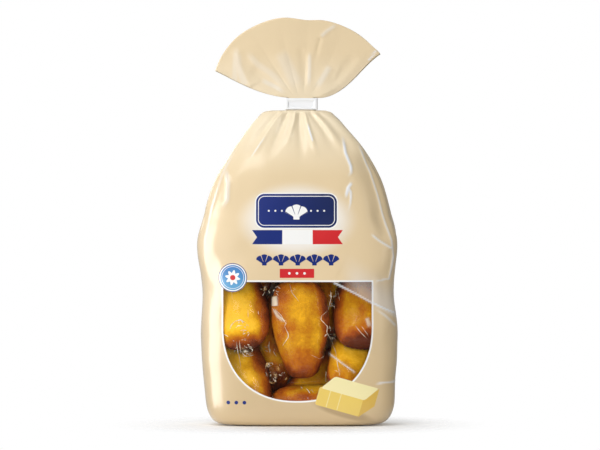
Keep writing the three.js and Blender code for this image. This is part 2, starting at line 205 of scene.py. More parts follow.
# The nodes of one material, or of the world.
class Paint:
    def __init__(self, name, owners="materials"):
        self.owner = getattr(bpy.data, owners).new(name)
        self.owner.use_nodes = True
        self.tree = self.owner.node_tree
        self.tree.nodes.clear()

    # any node: its settings first, then the values or links of its sockets; gives back its output
    def node(self, kind, settings=None, inputs=None, output=0):
        made = self.tree.nodes.new(kind)
        for key, value in (settings or {}).items():
            if key == "stops":
                ramp = made.color_ramp
                while len(ramp.elements) < len(value):
                    ramp.elements.new(1)
                for element, (position, colour) in zip(ramp.elements, value):
                    element.position, element.color = position, colour
            else:
                setattr(made, key, value)
        for key, value in (inputs or {}).items():
            if isinstance(value, Flow):
                self.tree.links.new(value.socket, made.inputs[key])
            else:
                made.inputs[key].default_value = value
        return Flow(self, made.outputs[output])

    def maths(self, operation, *values):
        return self.node("ShaderNodeMath", {"operation": operation}, dict(enumerate(values)))

    def mix(self, share, first, second):
        return self.node("ShaderNodeMix", {"data_type": "RGBA"}, {0: share, 6: first, 7: second}, 2)

    def clamp(self, value):
        return self.node("ShaderNodeClamp", {}, {0: value})

    # 1 inside a signed distance, 0 outside, with an edge of that softness
    def inside(self, distance, soft=0.12):
        return self.clamp(0.5 - distance / (2 * soft))

    # 0 below low, 1 above high
    def ramp(self, value, low, high):
        return self.node("ShaderNodeMapRange", {"interpolation_type": "SMOOTHSTEP"}, {0: value, 1: low, 2: high})

    def hypot(self, first, second):
        return self.maths("SQRT", first * first + second * second)

    def least(self, *values):
        return values[0] if len(values) == 1 else self.maths("MINIMUM", values[0], self.least(*values[1:]))

    def most(self, *values):
        return values[0] if len(values) == 1 else self.maths("MAXIMUM", values[0], self.most(*values[1:]))

    # signed distance of a rectangle with round corners about the origin
    def box(self, u, v, halfWide, halfHigh, corner=0.0):
        outU, outV = abs(u) - (halfWide - corner), abs(v) - (halfHigh - corner)
        outer = self.hypot(self.most(outU, 0.0), self.most(outV, 0.0))
        return outer + self.least(self.most(outU, outV), 0.0) - corner

    def parts(self, vector):
        return [self.node("ShaderNodeSeparateXYZ", {}, {0: vector}, axis) for axis in range(3)]

    # object coordinates
    def where(self):
        return self.node("ShaderNodeTexCoord", {}, {}, 3)

    # and the same in millimetres
    def place(self):
        return [part * 1000 for part in self.parts(self.where())]

    def noise(self, scale, detail=2.0, roughness=0.5, stretch=None):
        where = self.where()
        if stretch:
            where = self.node("ShaderNodeMapping", {}, {0: where, 3: stretch})
        sockets = {"Vector": where, "Scale": scale, "Detail": detail, "Roughness": roughness}
        return self.node("ShaderNodeTexNoise", {}, sockets)

    def attribute(self, name):
        return self.node("ShaderNodeAttribute", {"attribute_name": name}, {}, 2)

    def bump(self, height, distance, strength=1.0):
        return self.node("ShaderNodeBump", {}, {"Strength": strength, "Distance": distance, "Height": height})

    def finish(self, shader, kind="ShaderNodeOutputMaterial"):
        output = self.tree.nodes.new(kind)
        self.tree.links.new(shader.socket, output.inputs[0])
        return self.owner


# A scallop: its ribs fan out from a hinge below, its rim is gently scalloped. u and v are from its middle.
def scallop(paint, u, v, size):
    up = v + size * 0.5
    reach = paint.hypot(u, up)
    angle = paint.maths("ARCTAN2", u, up)
    ribs = abs(paint.maths("SINE", angle * 4.5 + np.pi / 2))
    rim = reach - (0.93 + 0.07 * ribs) * size
    body = paint.most(rim, (abs(angle) - 1.08) * size * 0.5)
    foot = paint.box(u, up - size * 0.02, size * 0.22, size * 0.1, size * 0.04)
    grooves = paint.inside(ribs - 0.16, 0.08) * paint.inside(0.3 * size - reach, 0.2)
    return paint.most(paint.inside(body) * (1 - grooves), paint.inside(foot))


printed = dict(
    # the lighter stops round the neck are painted light
    ground=[(0.05, linear(216, 190, 147)), (0.36, linear(235, 210, 168)), (0.6, linear(234, 210, 168)),
            (0.73, linear(247, 230, 197)), (0.82, linear(244, 225, 191)), (0.9, linear(237, 214, 174))],
    groundHeight=330.0,  # where the last of those shares would be 1
    white=linear(252, 251, 248),
    # bluish white of stretched film, also the colour of painted highlights and glare
    strainedAndSheen=linear(240, 243, 248),
    navy=linear(0, 36, 122),
    navyDark=linear(0, 28, 88),
    red=linear(216, 30, 36),
    sky=linear(96, 168, 214),
    skyDeep=linear(56, 130, 196),
    butterTop=linear(250, 238, 180),
    butterFront=linear(240, 208, 104),
    butterSide=linear(222, 182, 84),
    butterShade=linear(150, 120, 80),
)

window = dict(middle=-0.4, halfWidth=58.8, top=114.8, shoulder=80, bottom=20.6, square=2.25, border=1.3)


# The printed film: clear where nothing is printed, so the window and the inks are one sheet.
def printedFilm():
    paint = Paint("printedFilm")
    x, y, z = paint.place()
    front = paint.inside(y + 3, 3)
    ink = printed

    # cream ground, a little deeper below, and lighter round the neck and the fan's foot, painted light that lifts
    # the shade under the clip
    ground = paint.node("ShaderNodeValToRGB", {"stops": ink["ground"]}, {0: z / ink["groundHeight"]})

    # white halo round the plaque and the band
    halo = paint.hypot((x + 0.8) / 46, (z - 163) / 30)
    colour = paint.mix((1 - paint.ramp(halo, 0.62, 1.1)) * 0.75 * front, ground, ink["white"])

    # plaque: navy rounded rectangle, inset white line, a shell between two rows of dots
    u, v = x + 1.2, z - 171
    plaque = paint.box(u, v, 32.0, 13.4, 6.7)
    colour = paint.mix(paint.inside(plaque - 0.9) * front, colour, ink["white"])
    navy = paint.mix(paint.ramp(u, -32.0, 32.0), ink["navy"], ink["navyDark"])
    colour = paint.mix(paint.inside(plaque) * front, colour, navy)
    line = paint.inside(abs(plaque + 1.9) - 0.28)
    shell = scallop(paint, u, v + 0.5, 11.0)
    beads = paint.hypot(paint.maths("PINGPONG", abs(u) - 11.5, 2.6), v) - 0.75
    beads = paint.inside(beads) * paint.inside(abs(abs(u) - 17.5) - 6.6)
    colour = paint.mix(paint.most(line, shell, beads) * front, colour, ink["white"])

    # band: straight, in three colours, its ends notched
    v = z - 150.2
    bandMask = paint.inside(paint.most(abs(v) - 5.6, abs(x + 0.4) - 32.0 - abs(v) * 0.7)) * front
    colour = paint.mix(bandMask, colour, ink["white"])
    colour = paint.mix(bandMask * paint.inside(x + 12.4), colour, ink["navy"])
    colour = paint.mix(bandMask * paint.inside(11.6 - x), colour, ink["red"])

    # five small shells in a row
    spaced = paint.maths("WRAP", x + 0.2, 6.6, -6.6)
    row = scallop(paint, spaced, z - 132.6, 8.2) * paint.inside(abs(x + 0.2) - 32.8)
    colour = paint.mix(row * front, colour, ink["navy"])

    # red bar with three white dots
    bar = paint.box(x + 0.8, z - 121.6, 13.6, 3.6, 0.5)
    colour = paint.mix(paint.inside(bar) * front, colour, ink["red"])
    dots = paint.hypot(paint.maths("WRAP", x + 0.8, 3.0, -3.0), z - 121.6) - 1.0
    colour = paint.mix(paint.inside(dots) * paint.inside(abs(x + 0.8) - 8.9) * front, colour, ink["white"])

    # window: straight sides above its shoulder, a bowl below, a white border
    across, down = abs(x - window["middle"]) / window["halfWidth"], paint.most(window["shoulder"] - z, 0.0)
    down = down / (window["shoulder"] - window["bottom"])
    bowl = (across ** window["square"] + down ** window["square"]) ** (1 / window["square"])
    pane = paint.most((bowl - 1) * window["halfWidth"], z - window["top"])
    colour = paint.mix(paint.inside(pane - window["border"], 0.2) * front, colour, ink["white"])
    clear = paint.inside(pane) * front

    # round badge over the window's corner: sky blue, white ring, navy edge, a rosette
    u, v = x + 51.6, z - 118.2
    reach = paint.hypot(u, v)
    petals = paint.maths("SINE", paint.maths("ARCTAN2", u, v) * 8.0)
    badge = paint.inside(reach - 11.4)
    colour = paint.mix(badge * front, colour, ink["navy"])
    colour = paint.mix(paint.inside(reach - 10.8) * front, colour, ink["white"])
    sky = paint.mix(paint.ramp(v, -10.0, 8.0), ink["sky"], ink["skyDeep"])
    colour = paint.mix(paint.inside(reach - 9.9) * front, colour, sky)
    colour = paint.mix(paint.inside(abs(reach - 8.7) - 0.16) * front, colour, ink["white"])
    colour = paint.mix(paint.inside(reach - 4.9 - petals * 1.1) * front, colour, ink["white"])
    colour = paint.mix(paint.inside(reach - 2.1) * front, colour, ink["red"])

    # a cut block of butter over the window's lower edge
    turned = -0.28
    u = (x - 38.5) * np.cos(turned) + (z - 24.0) * np.sin(turned)
    v = (z - 24.0) * np.cos(turned) - (x - 38.5) * np.sin(turned)
    shade = paint.hypot((u - 1.0) / 26, (v + 12.5) / 5)
    colour = paint.mix((1 - paint.ramp(shade, 0.55, 1.1)) * 0.5 * front * (1 - clear), colour, ink["butterShade"])
    top = paint.box(u - (v - 6.0) * 0.7, v - 7.0, 18.0, 6.0, 1.6)
    face = paint.box(u + 4.6, v + 5.4, 17.9, 7.4, 1.6)
    end = paint.most(abs(u - 18.2) - 5.2, abs(v + 0.3 - (u - 18.2) * 1.15) - 7.2)
    butter = paint.most(paint.inside(top), paint.inside(face), paint.inside(end))
    colour = paint.mix(paint.inside(end) * front, colour, ink["butterSide"])
    colour = paint.mix(paint.inside(face) * front, colour, ink["butterFront"])
    colour = paint.mix(paint.inside(top) * front, colour, ink["butterTop"])
    slices = paint.inside(abs(paint.maths("PINGPONG", u + 4.6, 4.4)) - 0.3) * paint.inside(face + 0.5)
    colour = paint.mix(slices * paint.inside(u + 4.0, 0.2) * 0.75 * front, colour, ink["butterTop"])

    # three small navy marks at the lower left
    marks = paint.hypot(paint.maths("WRAP", x + 48.8, 3.2, -3.2), z - 19.2) - 1.5
    marks = paint.inside(marks) * paint.inside(abs(x + 48.8) - 9.5)
    colour = paint.mix(marks * front, colour, ink["navy"])

    # paler where the film is stretched or lies in two layers, and in part a painted highlight: the pale colour
    # stands in for glints along crests and for glare over the window's upper right. This holds over the print as over
    # the window
    pale = paint.clamp(paint.attribute("pale"))
    colour = paint.mix(pale, colour, ink["strainedAndSheen"])
    clear = clear * (1 - paint.most(badge, butter)) * (1 - 0.8 * pale)

    wrinkles = paint.noise(38.0, 3.0, 0.55, (1.0, 1.0, 0.55))
    normal = paint.bump(wrinkles, 0.0012, 0.4)
    sheet = paint.node(
        "ShaderNodeBsdfPrincipled",
        {},
        {"Base Color": colour, "Roughness": 0.42, "Specular IOR Level": 0.3, "Coat Weight": 1.0,
         "Coat Roughness": 0.2, "Coat IOR": 1.65, "Normal": normal},
    )
    return paint.finish(paint.node("ShaderNodeMixShader", {}, {0: clear, 1: sheet, 2: clearLayer(paint, normal)}))


# clear film, the same from both sides: see-through, with a mirror of least + (most - least) * turnedAway^5
def clearLayer(paint, normal, least=0.015, most=1.0, roughness=0.06, tint=(0.99, 0.985, 0.975, 1)):
    turnedAway = paint.node("ShaderNodeLayerWeight", {}, {"Blend": 0.5, "Normal": normal}, 1)
    mirror = paint.clamp(least + (most - least) * turnedAway**5)
    shine = paint.node("ShaderNodeBsdfGlossy", {}, {"Color": (1, 1, 1, 1), "Roughness": roughness, "Normal": normal})
    through = paint.node("ShaderNodeBsdfTransparent", {}, {"Color": tint})
    return paint.node("ShaderNodeMixShader", {}, {0: mirror, 1: through, 2: shine})


# the cakes' wrappers: clear, and whitish along sharp creases, partly the film's own whitening and partly
# painted glints. Where they are crumpled, many layers tint what is seen through them
def wrapFilm(name, creaseAndReflectionColour, tint):
    paint = Paint(name)
    pale = paint.clamp(paint.attribute("pale"))
    fine = paint.noise(65.0, 1.0, 0.4)
    normal = paint.bump(fine, 0.0006, 0.3)
    sockets = {"Base Color": creaseAndReflectionColour, "Roughness": 0.25, "Normal": normal}
    creased = paint.node("ShaderNodeBsdfPrincipled", {}, sockets)
    clear = clearLayer(paint, normal, 0.02, 0.4, 0.15, tint)
    return paint.finish(paint.node("ShaderNodeMixShader", {}, {0: pale, 1: clear, 2: creased}))


# sharp folds of a wrapper: whitish and shiny, partly the film's own whitening and partly painted glints, and
# see-through by the rest of the share
def foldFilm(name, least, more):
    paint = Paint(name)
    patchy = paint.ramp(paint.noise(260.0, 2.0, 0.5), 0.3, 0.62)
    folded = paint.node("ShaderNodeBsdfPrincipled", {}, {"Base Color": linear(255, 243, 220), "Roughness": 0.2})
    clear = paint.node("ShaderNodeBsdfTransparent")
    return paint.finish(paint.node("ShaderNodeMixShader", {}, {0: least + more * patchy, 1: clear, 2: folded}))


def bakedSponge():
    paint = Paint("bakedSponge")
    browned = paint.attribute("browned")
    blotches = paint.noise(55.0, 4.0, 0.6)
    fine = paint.noise(420.0, 3.0, 0.65)
    level = paint.clamp(browned + (blotches - 0.5) * 0.6 + (fine - 0.5) * 0.4)
    stops = [
        (0.0, linear(252, 198, 56)),
        (0.16, linear(236, 176, 32)),
        (0.34, linear(208, 147, 26)),
        (0.54, linear(186, 106, 20)),
        (0.76, linear(152, 72, 24)),
        (1.0, linear(94, 42, 22)),
    ]
    colour = paint.node("ShaderNodeValToRGB", {"stops": stops}, {0: level})
    pores = paint.node("ShaderNodeTexVoronoi", {"feature": "F1"}, {"Vector": paint.where(), "Scale": 620.0})
    height = fine * 0.6 + paint.ramp(pores, 0.05, 0.4) * 0.5 + blotches * 0.8
    normal = paint.bump(height, 0.0009, 0.45)
    roughness = 0.6 + (fine - 0.5) * 0.3
    sockets = {"Base Color": colour, "Roughness": roughness, "Normal": normal, "Specular IOR Level": 0.08}
    return paint.finish(paint.node("ShaderNodeBsdfPrincipled", {}, sockets))


def clipPlastic():
    paint = Paint("clipPlastic")
    grain = paint.noise(900.0, 2.0, 0.5)
    normal = paint.bump(grain, 0.0002, 0.3)
    sockets = {"Base Color": linear(246, 247, 248), "Roughness": 0.38, "Normal": normal}
    return paint.finish(paint.node("ShaderNodeBsdfPrincipled", {}, sockets))


materials = dict(
    film=printedFilm(),
    wrap=wrapFilm("wrapFilm", linear(252, 240, 216), (0.99, 0.985, 0.97, 1)),
    # the tufts' tan along their folds is a painted reflection of the orange cakes round them
    tuft=wrapFilm("tuftFilm", linear(242, 206, 146), (0.94, 0.87, 0.74, 1)),
    fold=foldFilm("foldFilm", 0.5, 0.5),
    crumple=foldFilm("crumpledFilm", 0.15, 0.7),
    sponge=bakedSponge(),
    clip=clipPlastic(),
)
print("materials made")


# the bag's body: height, middle, half width, half depth, squareness, tuck of the side gussets, depth of the pleats
stations = np.array([
    (0, 1.6, 50, 21.5, 3.6, 0, 0),
    (1, 1.8, 62.5, 28.6, 3.6, 0, 0),
    (2.8, 1.8, 67.6, 31.6, 3.6, 0, 0),
    (6.8, 1.8, 71.7, 34.6, 3.6, 0, 0),
    (16, 1.8, 75, 37.2, 3.5, 0, 0),
    (40, 1.2, 77, 39.4, 3.3, 0, 0),
    (72, 1.2, 78.9, 40.6, 3.2, 0, 0),
    (104, 0.2, 76.6, 41, 3.2, 0, 0),
    (145, -0.6, 79.6, 40, 3.1, 0.04, 0),
    (170, 0.2, 74.6, 36.5, 3, 0.1, 0.3),
    (195, 0.2, 66.8, 31, 2.8, 0.18, 1),
    (218, 0.6, 53.8, 24, 2.6, 0.24, 2),
    (236, -0.4, 40, 16, 2.4, 0.24, 2.6),
    (246, -0.8, 31, 10, 2.2, 0.16, 2.2),
    (250.4, -0.8, 24.8, 6.4, 2.1, 0.06, 1.4),
    (251.2, 0, 20.4, 5.2, 2, 0, 0.8),
    (251.45, 2.5, 11.6, 3, 2, 0, 0),
    (261.4, 2.5, 11.6, 3, 2, 0, 0),
])

# four values in a row are where a hill starts, is full, fades and ends
body = dict(
    rows=280,
    baseRings=12,
    columns=320,
    lastPlace=16.65,
    widest=6,  # the station whose film the columns are spaced along
    frontColumns=dict(density=3.4, shares=(0.5, 0.56, 0.94, 1)),  # how much closer they lie in the front
    seamColumns=dict(density=3.0, share=0.25, spread=0.02),
    base=dict(middle=1.6, dished=0.7),
    neckTop=(2.5, 0, 257.5),  # where the film is shut, inside the clip
    frontFacing=(0.15, 0.75),
    frontDepth=(0, 4),
    # a pale patch over the window's upper right: film lying in two layers there, and partly a painted glare
    doubledGlare=dict(start=(28, 114), fall=0.59, band=(0, 2.5, 8, 34), across=(32, 50), share=0.36),
    paleDepth=(-2, 14),
    gussetReach=0.45,
    pleats=dict(round=17, ridge=0.8, drift=0.55, driftTurns=3, driftStart=1.1),
    dents=dict(depth=0.5, round=5, pitch=46, heights=(30, 60, 150, 200)),
    swell=[(0.55, 34, 3), (0.2, 13, 5)],
    swellFrom=(8, 40),
    seam=dict(middle=2, halfWidth=5.5, proud=0.7, edge=1.2, behind=0.3, heights=(6, 12, 200, 236)),
)

# lines where the front is pleated or creased: marks are (x, z)
bodyCreases = [
    # pleats gathered under the clip, which widen downwards; the pale lines on two crests are painted highlights
    dict(marks=[(-14, 251), (-20.2, 245), (-30, 232), (-43, 214)], height=-1.2, width=(1.4, 5.5), ends=(0.1, 0.6)),
    dict(marks=[(-11, 251), (-18.4, 243), (-27, 230), (-39, 210)], height=1.1, width=(1.2, 3.2), ends=(0.1, 0.5)),
    dict(marks=[(-25, 231.5), (-31, 222.8), (-39, 211)], sharp=(0.4, 0.9), ends=(0.3, 0.4), pale=(0.5, 0.6)),
    dict(marks=[(-7, 251), (-10.4, 244.6), (-18.4, 226), (-26, 208)], height=-1.7, width=(1.4, 5.5), ends=(0.1, 0.7)),
    dict(marks=[(-2, 251), (-2.8, 243.6), (-6.8, 230), (-11, 218)], height=1.1, width=(1.0, 2.6), ends=(0.1, 0.6)),
    dict(marks=[(1.5, 251), (1, 240), (2, 226), (4, 204)], height=-1.7, width=(1.6, 5.5), ends=(0.1, 0.75)),
    dict(marks=[(5, 251), (7.2, 242), (11.8, 225.4), (16, 212)], height=1.2, width=(1.0, 2.6), ends=(0.1, 0.5)),
    dict(marks=[(7.2, 242), (9.6, 233), (11.8, 225.4)], sharp=(0.5, 0.8), ends=(0.35, 0.15), pale=(0.9, 0.7)),
    dict(marks=[(8, 251), (11.2, 247), (19.8, 237), (34, 212)], height=-1.4, width=(1.4, 5.0), ends=(0.1, 0.7)),
    dict(marks=[(11, 251), (18, 244), (27, 232), (41, 210)], height=0.9, width=(1.4, 3.8), ends=(0.1, 0.6)),
    dict(marks=[(14, 251), (24, 243), (36, 229), (53, 203)], height=-0.9, width=(1.6, 5.5), ends=(0.1, 0.7)),
    # slack film below them
    dict(marks=[(-30, 214), (-44, 188), (-50, 160)], height=-0.5, width=9.0, ends=(0.5, 0.5)),
    dict(marks=[(12, 206), (22, 190), (26, 176)], height=-0.4, width=8.0, ends=(0.5, 0.5)),
    dict(marks=[(60, 178), (68, 158), (69, 140)], height=-1.0, width=5.0, ends=(0.4, 0.4)),
    dict(marks=[(66, 128), (70, 104), (71, 84)], height=-0.8, width=5.0, ends=(0.3, 0.4)),
    dict(marks=[(-66, 140), (-70, 112), (-69, 88)], height=-0.8, width=5.0, ends=(0.3, 0.4)),
    # raised streak and forked swirl on the right, their pale colour a painted highlight
    dict(
        marks=[(35.6, 232), (37.6, 217), (41.8, 206.5), (42.2, 201.5), (39, 197.3)],
        height=0.8, width=1.5, ends=(0.3, 0.25), pale=(0.95, 1.2),
    ),
    dict(marks=[(43.2, 194), (39.6, 189.4), (38.6, 184.6), (38.2, 180)], height=0.5, width=1.1, pale=(0.9, 1.3)),
    dict(
        marks=[(39.8, 189.6), (41.7, 186), (42, 182), (41.6, 177), (39.4, 167.6)],
        height=0.5, width=1.1, ends=(0.06, 0.7), pale=(0.85, 0.9),
    ),
    # front edge of the right gusset, with a painted highlight line along it, and the hollow beside it
    dict(
        marks=[(47, 226), (52.8, 214.8), (59.2, 201.2), (64.8, 184.4), (70.4, 164.4), (74.1, 147.6), (75.2, 134),
               (72.8, 117)],
        height=0.45, width=1.1, ends=(0.1, 0.1), pale=(0.6, 0.8),
    ),
    dict(marks=[(49, 226), (58, 207), (65, 186), (70.4, 166), (72, 146)], height=-4.0, width=10.5, ends=(0.25, 0.3)),
    dict(marks=[(57.2, 153.2), (64, 147.6), (75.2, 140.4)], height=0.6, width=1.1, ends=(0.2, 0.1), pale=(0.75, 0.8)),
    # and of the left one, also with a painted highlight line
    dict(marks=[(-57.6, 206), (-55.2, 193.2), (-56, 179.6), (-61.6, 171)], height=0.6, width=2.0, pale=(0.4, 1.6)),
    dict(marks=[(-48, 224), (-60, 200), (-69, 172), (-74, 148), (-74, 128)], height=0.5, width=1.6, pale=(0.3, 1.0)),
    # folds over the upper right of the window, with painted highlights along them
    dict(
        marks=[(27, 115), (46, 105.2), (57.2, 99), (78.4, 89)],
        height=0.6, width=1.0, ends=(0.05, 0.05), tilt=(0.05, 14), pale=(0.95, 0.75),
    ),
    dict(marks=[(58, 95.5), (68, 88.8), (78.4, 79)], height=0.3, width=1.0, ends=(0.5, 0.1), pale=(0.5, 1.0)),
    dict(marks=[(75.2, 137.2), (72.8, 117.2), (58, 114.4)], height=0.5, width=1.0, ends=(0.1, 0.2), pale=(0.6, 0.8)),
    dict(marks=[(60, 34), (79, 35.6)], height=0.5, width=1.0, ends=(0.3, 0.1), pale=(0.7, 0.7)),
    dict(marks=[(23, 59.4), (46, 42.4)], height=0.45, width=1.0, ends=(0.2, 0.1), pale=(0.5, 0.8)),
]


# how far round the film a share is, as an angle, so that steps of the share are even steps of film
def filmAngle(share):
    steps = np.linspace(0, fullTurn, 1441)
    widest = stations[body["widest"]]
    x = signedPower(np.cos(steps), 2 / widest[4]) * widest[2]
    y = signedPower(np.sin(steps), 2 / widest[4]) * widest[3]
    way = wayAlong(x, y)
    return np.interp(share, way / way[-1], steps)


# superellipse |x|^n + |y|^n = 1 whose two sides are tucked in by tuck * exp(-(y / reach)^2)
def sectionPoint(angle, square, tuck):
    across = signedPower(np.cos(angle), 2 / square)
    deep = signedPower(np.sin(angle), 2 / square)
    return across * (1 - tuck * np.exp(-((deep / body["gussetReach"]) ** 2))), deep


# ridges and valleys from -1 to 1: 1 - 2 |sin(n pi share + drift)|^ridge
def pleatWave(share):
    pleats = body["pleats"]
    drift = pleats["drift"] * np.sin(fullTurn * pleats["driftTurns"] * share + pleats["driftStart"])
    return 1 - 2 * np.abs(np.sin(np.pi * pleats["round"] * share + drift)) ** pleats["ridge"]


# shares of the way round, closer together where density is high
def spacedShares(count, density):
    fine = np.linspace(0, 1, 4001)
    total = np.cumsum(density(fine))
    total = (total - total[0]) / (total[-1] - total[0])
    return np.interp(np.arange(count) / count, total, fine)


# the bag's own surface: sections along the stations, pushed out by pleats, dents, creases and a back seam
def bagSurface(share, place):
    height, middle, halfWidth, halfDepth, square, tuck, pleat = (
        curveThrough(column, place)[:, None] for column in stations.T
    )
    quarter = np.linspace(0, np.pi / 2, 91)
    reach = sectionPoint(quarter[None, :], square, tuck)[0].max(1, keepdims=True)
    halfWidth = halfWidth / reach
    across, deep = sectionPoint(filmAngle(share)[None, :], square, tuck)
    x, y = across * halfWidth, deep * halfDepth
    outX, outY = x / halfWidth**2, y / halfDepth**2
    size = np.hypot(outX, outY)
    outX, outY = outX / size, outY / size
    dents = body["dents"]
    pressed = hill(height, *dents["heights"])
    dent =np.sin(fullTurn * dents["round"] * share) * np.cos(fullTurn * height / dents["pitch"])
    facing = smooth(-outY, *body["frontFacing"]) * smooth(-y, *body["frontDepth"])
    gathered = pleat * pleatWave(share)[None, :] * (1 - facing)
    out = gathered - dents["depth"] * pressed * dent
    points = np.stack([x + middle, y, np.broadcast_to(height, x.shape)], -1)
    relief, pale = creaseRelief(points[..., 0], points[..., 2], bodyCreases)
    out += relief * facing
    # the pale patch over the window's upper right, partly a painted glare
    doubledGlare = body["doubledGlare"]
    above = points[..., 2] - doubledGlare["start"][1] + doubledGlare["fall"] * (points[..., 0] - doubledGlare["start"][0])
    patch = hill(above, *doubledGlare["band"])
    pale = np.maximum(pale, patch * doubledGlare["share"] * smooth(points[..., 0], *doubledGlare["across"]))
    pale = pale * smooth(-y, *body["paleDepth"])
    swell = sum(amount * noiseAt(points, cell, seed) for amount, cell, seed in body["swell"])
    out += swell * smooth(height, *body["swellFrom"])
    seam = body["seam"]
    fromSeam = np.abs(points[..., 0] - seam["middle"])
    rise = 1 - smooth(fromSeam, seam["halfWidth"], seam["halfWidth"] + seam["edge"])
    out += seam["proud"] * rise * (outY > seam["behind"]) * hill(height, *seam["heights"])
    points[..., 0] += outX * out
    points[..., 1] += outY * out
    return points, pale


# places up the stations, evenly spaced along the bag's side
def evenPlaces(count, last):
    fine = np.linspace(0, last, 3000)
    way = wayAlong(curveThrough(stations[:, 0], fine), curveThrough(stations[:, 2], fine))
    return np.interp(np.linspace(0, way[-1], count), way, fine)


# columns to each share of the way round: 1, more in the front, and more by exp(-(share / spread)^2) at the seam
def columnDensity(share):
    front, seam = body["frontColumns"], body["seamColumns"]
    near = np.exp(-(((share - seam["share"]) / seam["spread"]) ** 2))
    return 1 + (front["density"] - 1) * hill(share, *front["shares"]) + seam["density"] * near


# the surface with a base below it, dished by dished * (1 - ring^2), and a pole inside the clip
def makeBody():
    share = spacedShares(body["columns"], columnDensity)
    wall, pale = bagSurface(share, evenPlaces(body["rows"], body["lastPlace"]))
    rings = np.linspace(0, 1, body["baseRings"] + 1)[1:-1][:, None, None]
    middle, dished = body["base"]["middle"], body["base"]["dished"]
    centre = np.array([middle, 0, 0])
    base = centre + (wall[0] - centre)[None] * rings
    base[..., 2] = dished * (1 - rings[..., 0] ** 2)
    pale = np.concatenate([np.zeros(base[..., 0].size), pale.ravel(), [0, 0]])
    points = np.concatenate([base, wall])
    poles = (middle, 0, dished), body["neckTop"]
    return gridObject("bag_film", points, materials["film"], *poles, attribute=("pale", pale))


bagBody = makeBody()
print("body made:", len(bagBody.data.polygons), "faces")


# the film that fans out above the clip
fan = dict(
    middle=(2.5, 261.4),
    stemHalfWidth=11.0,
    stemLow=254.0,
    reach=[(-73, 72.2), (-50, 71), (-30, 68), (-14, 65.8), (4, 62.2), (16, 64.4), (30, 66.4), (46, 69), (54, 70.4),
           (61.5, 72.4)],
    droopLeft=(-13, 1.4),
    droopRight=(36, 2.0),
    halfThick=(2.6, 3.4, 1.3),
    pleat=dict(depth=0.6, across=5.7, low=0.02, full=0.2, fade=0.2, left=0.15),
    wave=dict(depth=0.9, across=1.3, start=0.1),
    sweepBack=1.6,
    rows=64,
    stemRows=4,
    columns=320,
    gusset=0.085,  # share of the film that is tucked in on each side of a side's middle
    tucked=0.46,  # how far it is tucked in, as a share of the half width
    thick=0.2,
)

fanCreases = [
    # the left corner is folded over: a crest, and paler doubled film on its left
    dict(marks=[(-48.8, 303), (-47.3, 289), (-43.4, 281), (-37.5, 270)], sharp=(1.3, 5.0), ends=(0.2, 0.01)),
    dict(marks=[(-48.9, 303), (-50.2, 288), (-50.6, 274)], pale=(0.2, 2.3), ends=(0.25, 0.01)),
    dict(marks=[(-48.8, 300), (-47.6, 286), (-42.4, 272)], pale=(0.2, 2.9), ends=(0.25, 0.01)),
    dict(marks=[(-42, 299), (-32, 288), (-21.6, 281), (-6, 266)], height=0.7, width=3.6, pale=(0.16, 2.4)),
    dict(marks=[(-38, 286), (-26, 278), (-10, 266)], height=-1.0, width=5.0),
    dict(marks=[(-30, 276), (-18, 270), (-9, 264.5)], height=0.5, width=2.0, pale=(0.25, 1.8)),
    dict(marks=[(-15, 300), (-7, 284), (2, 266)], height=0.7, width=5.0, pale=(0.16, 5)),
    dict(marks=[(2, 304), (4, 290), (4.6, 272)], height=-0.5, width=3.0),
    dict(marks=[(9.4, 299), (9.2, 284), (8.6, 268)], height=0.6, width=2.4, pale=(0.3, 1.4)),
    # a crease that bends towards the right shoulder
    dict(marks=[(13.6, 290), (16, 302), (18.2, 310)], height=-0.6, width=1.5, ends=(0.5, 0.1)),
    dict(marks=[(18.2, 310), (23, 314.6), (31, 320)], height=0.4, width=1.6, ends=(0.1, 0.2), pale=(0.3, 1.4)),
    dict(marks=[(26, 288), (21, 279), (14, 268)], height=0.7, width=3.4, pale=(0.25, 2.4)),
    dict(marks=[(46, 296), (38, 285), (24, 267)], height=-0.9, width=4.6),
    dict(marks=[(34, 288), (28, 274)], height=0.3, width=1.6),
    # the strip that is folded in at the right tip
    dict(marks=[(62.8, 299), (56.2, 291.4)], height=0.5, width=0.7, ends=(0.05, 0.05), pale=(0.6, 0.8)),
]


# across is from -1 (left tip) to 1, deep from -1 (front layer) to 1, with the gussets folded in between
def fanSection(share):
    fromMiddle = np.abs(share - 0.5)
    onLeft = fromMiddle < 0.25
    fromSide = np.where(onLeft, fromMiddle, 0.5 - fromMiddle)
    gusset = fan["gusset"]
    panel = np.clip((fromSide - gusset) / (0.25 - gusset), 0, 1)
    inner = np.clip(fromSide / gusset, 0, 1)
    across = np.where(fromSide > gusset, 1 - panel, 1 - fan["tucked"] * (1 - inner))
    back = np.where(share < 0.5, 1.0, -1.0)
    deep = back * np.where(fromSide > gusset, 0.5 + 0.5 * smooth(panel, 0, 0.12), 0.5 * inner)
    return np.where(onLeft, -1.0, 1.0) * across, deep


# the top edge's distance from the clip, through the marks of the reach
def fanReach(angle):
    angles, ways = np.array(fan["reach"]).T
    return curveThrough(ways, np.interp(angle, angles, np.arange(len(angles))))


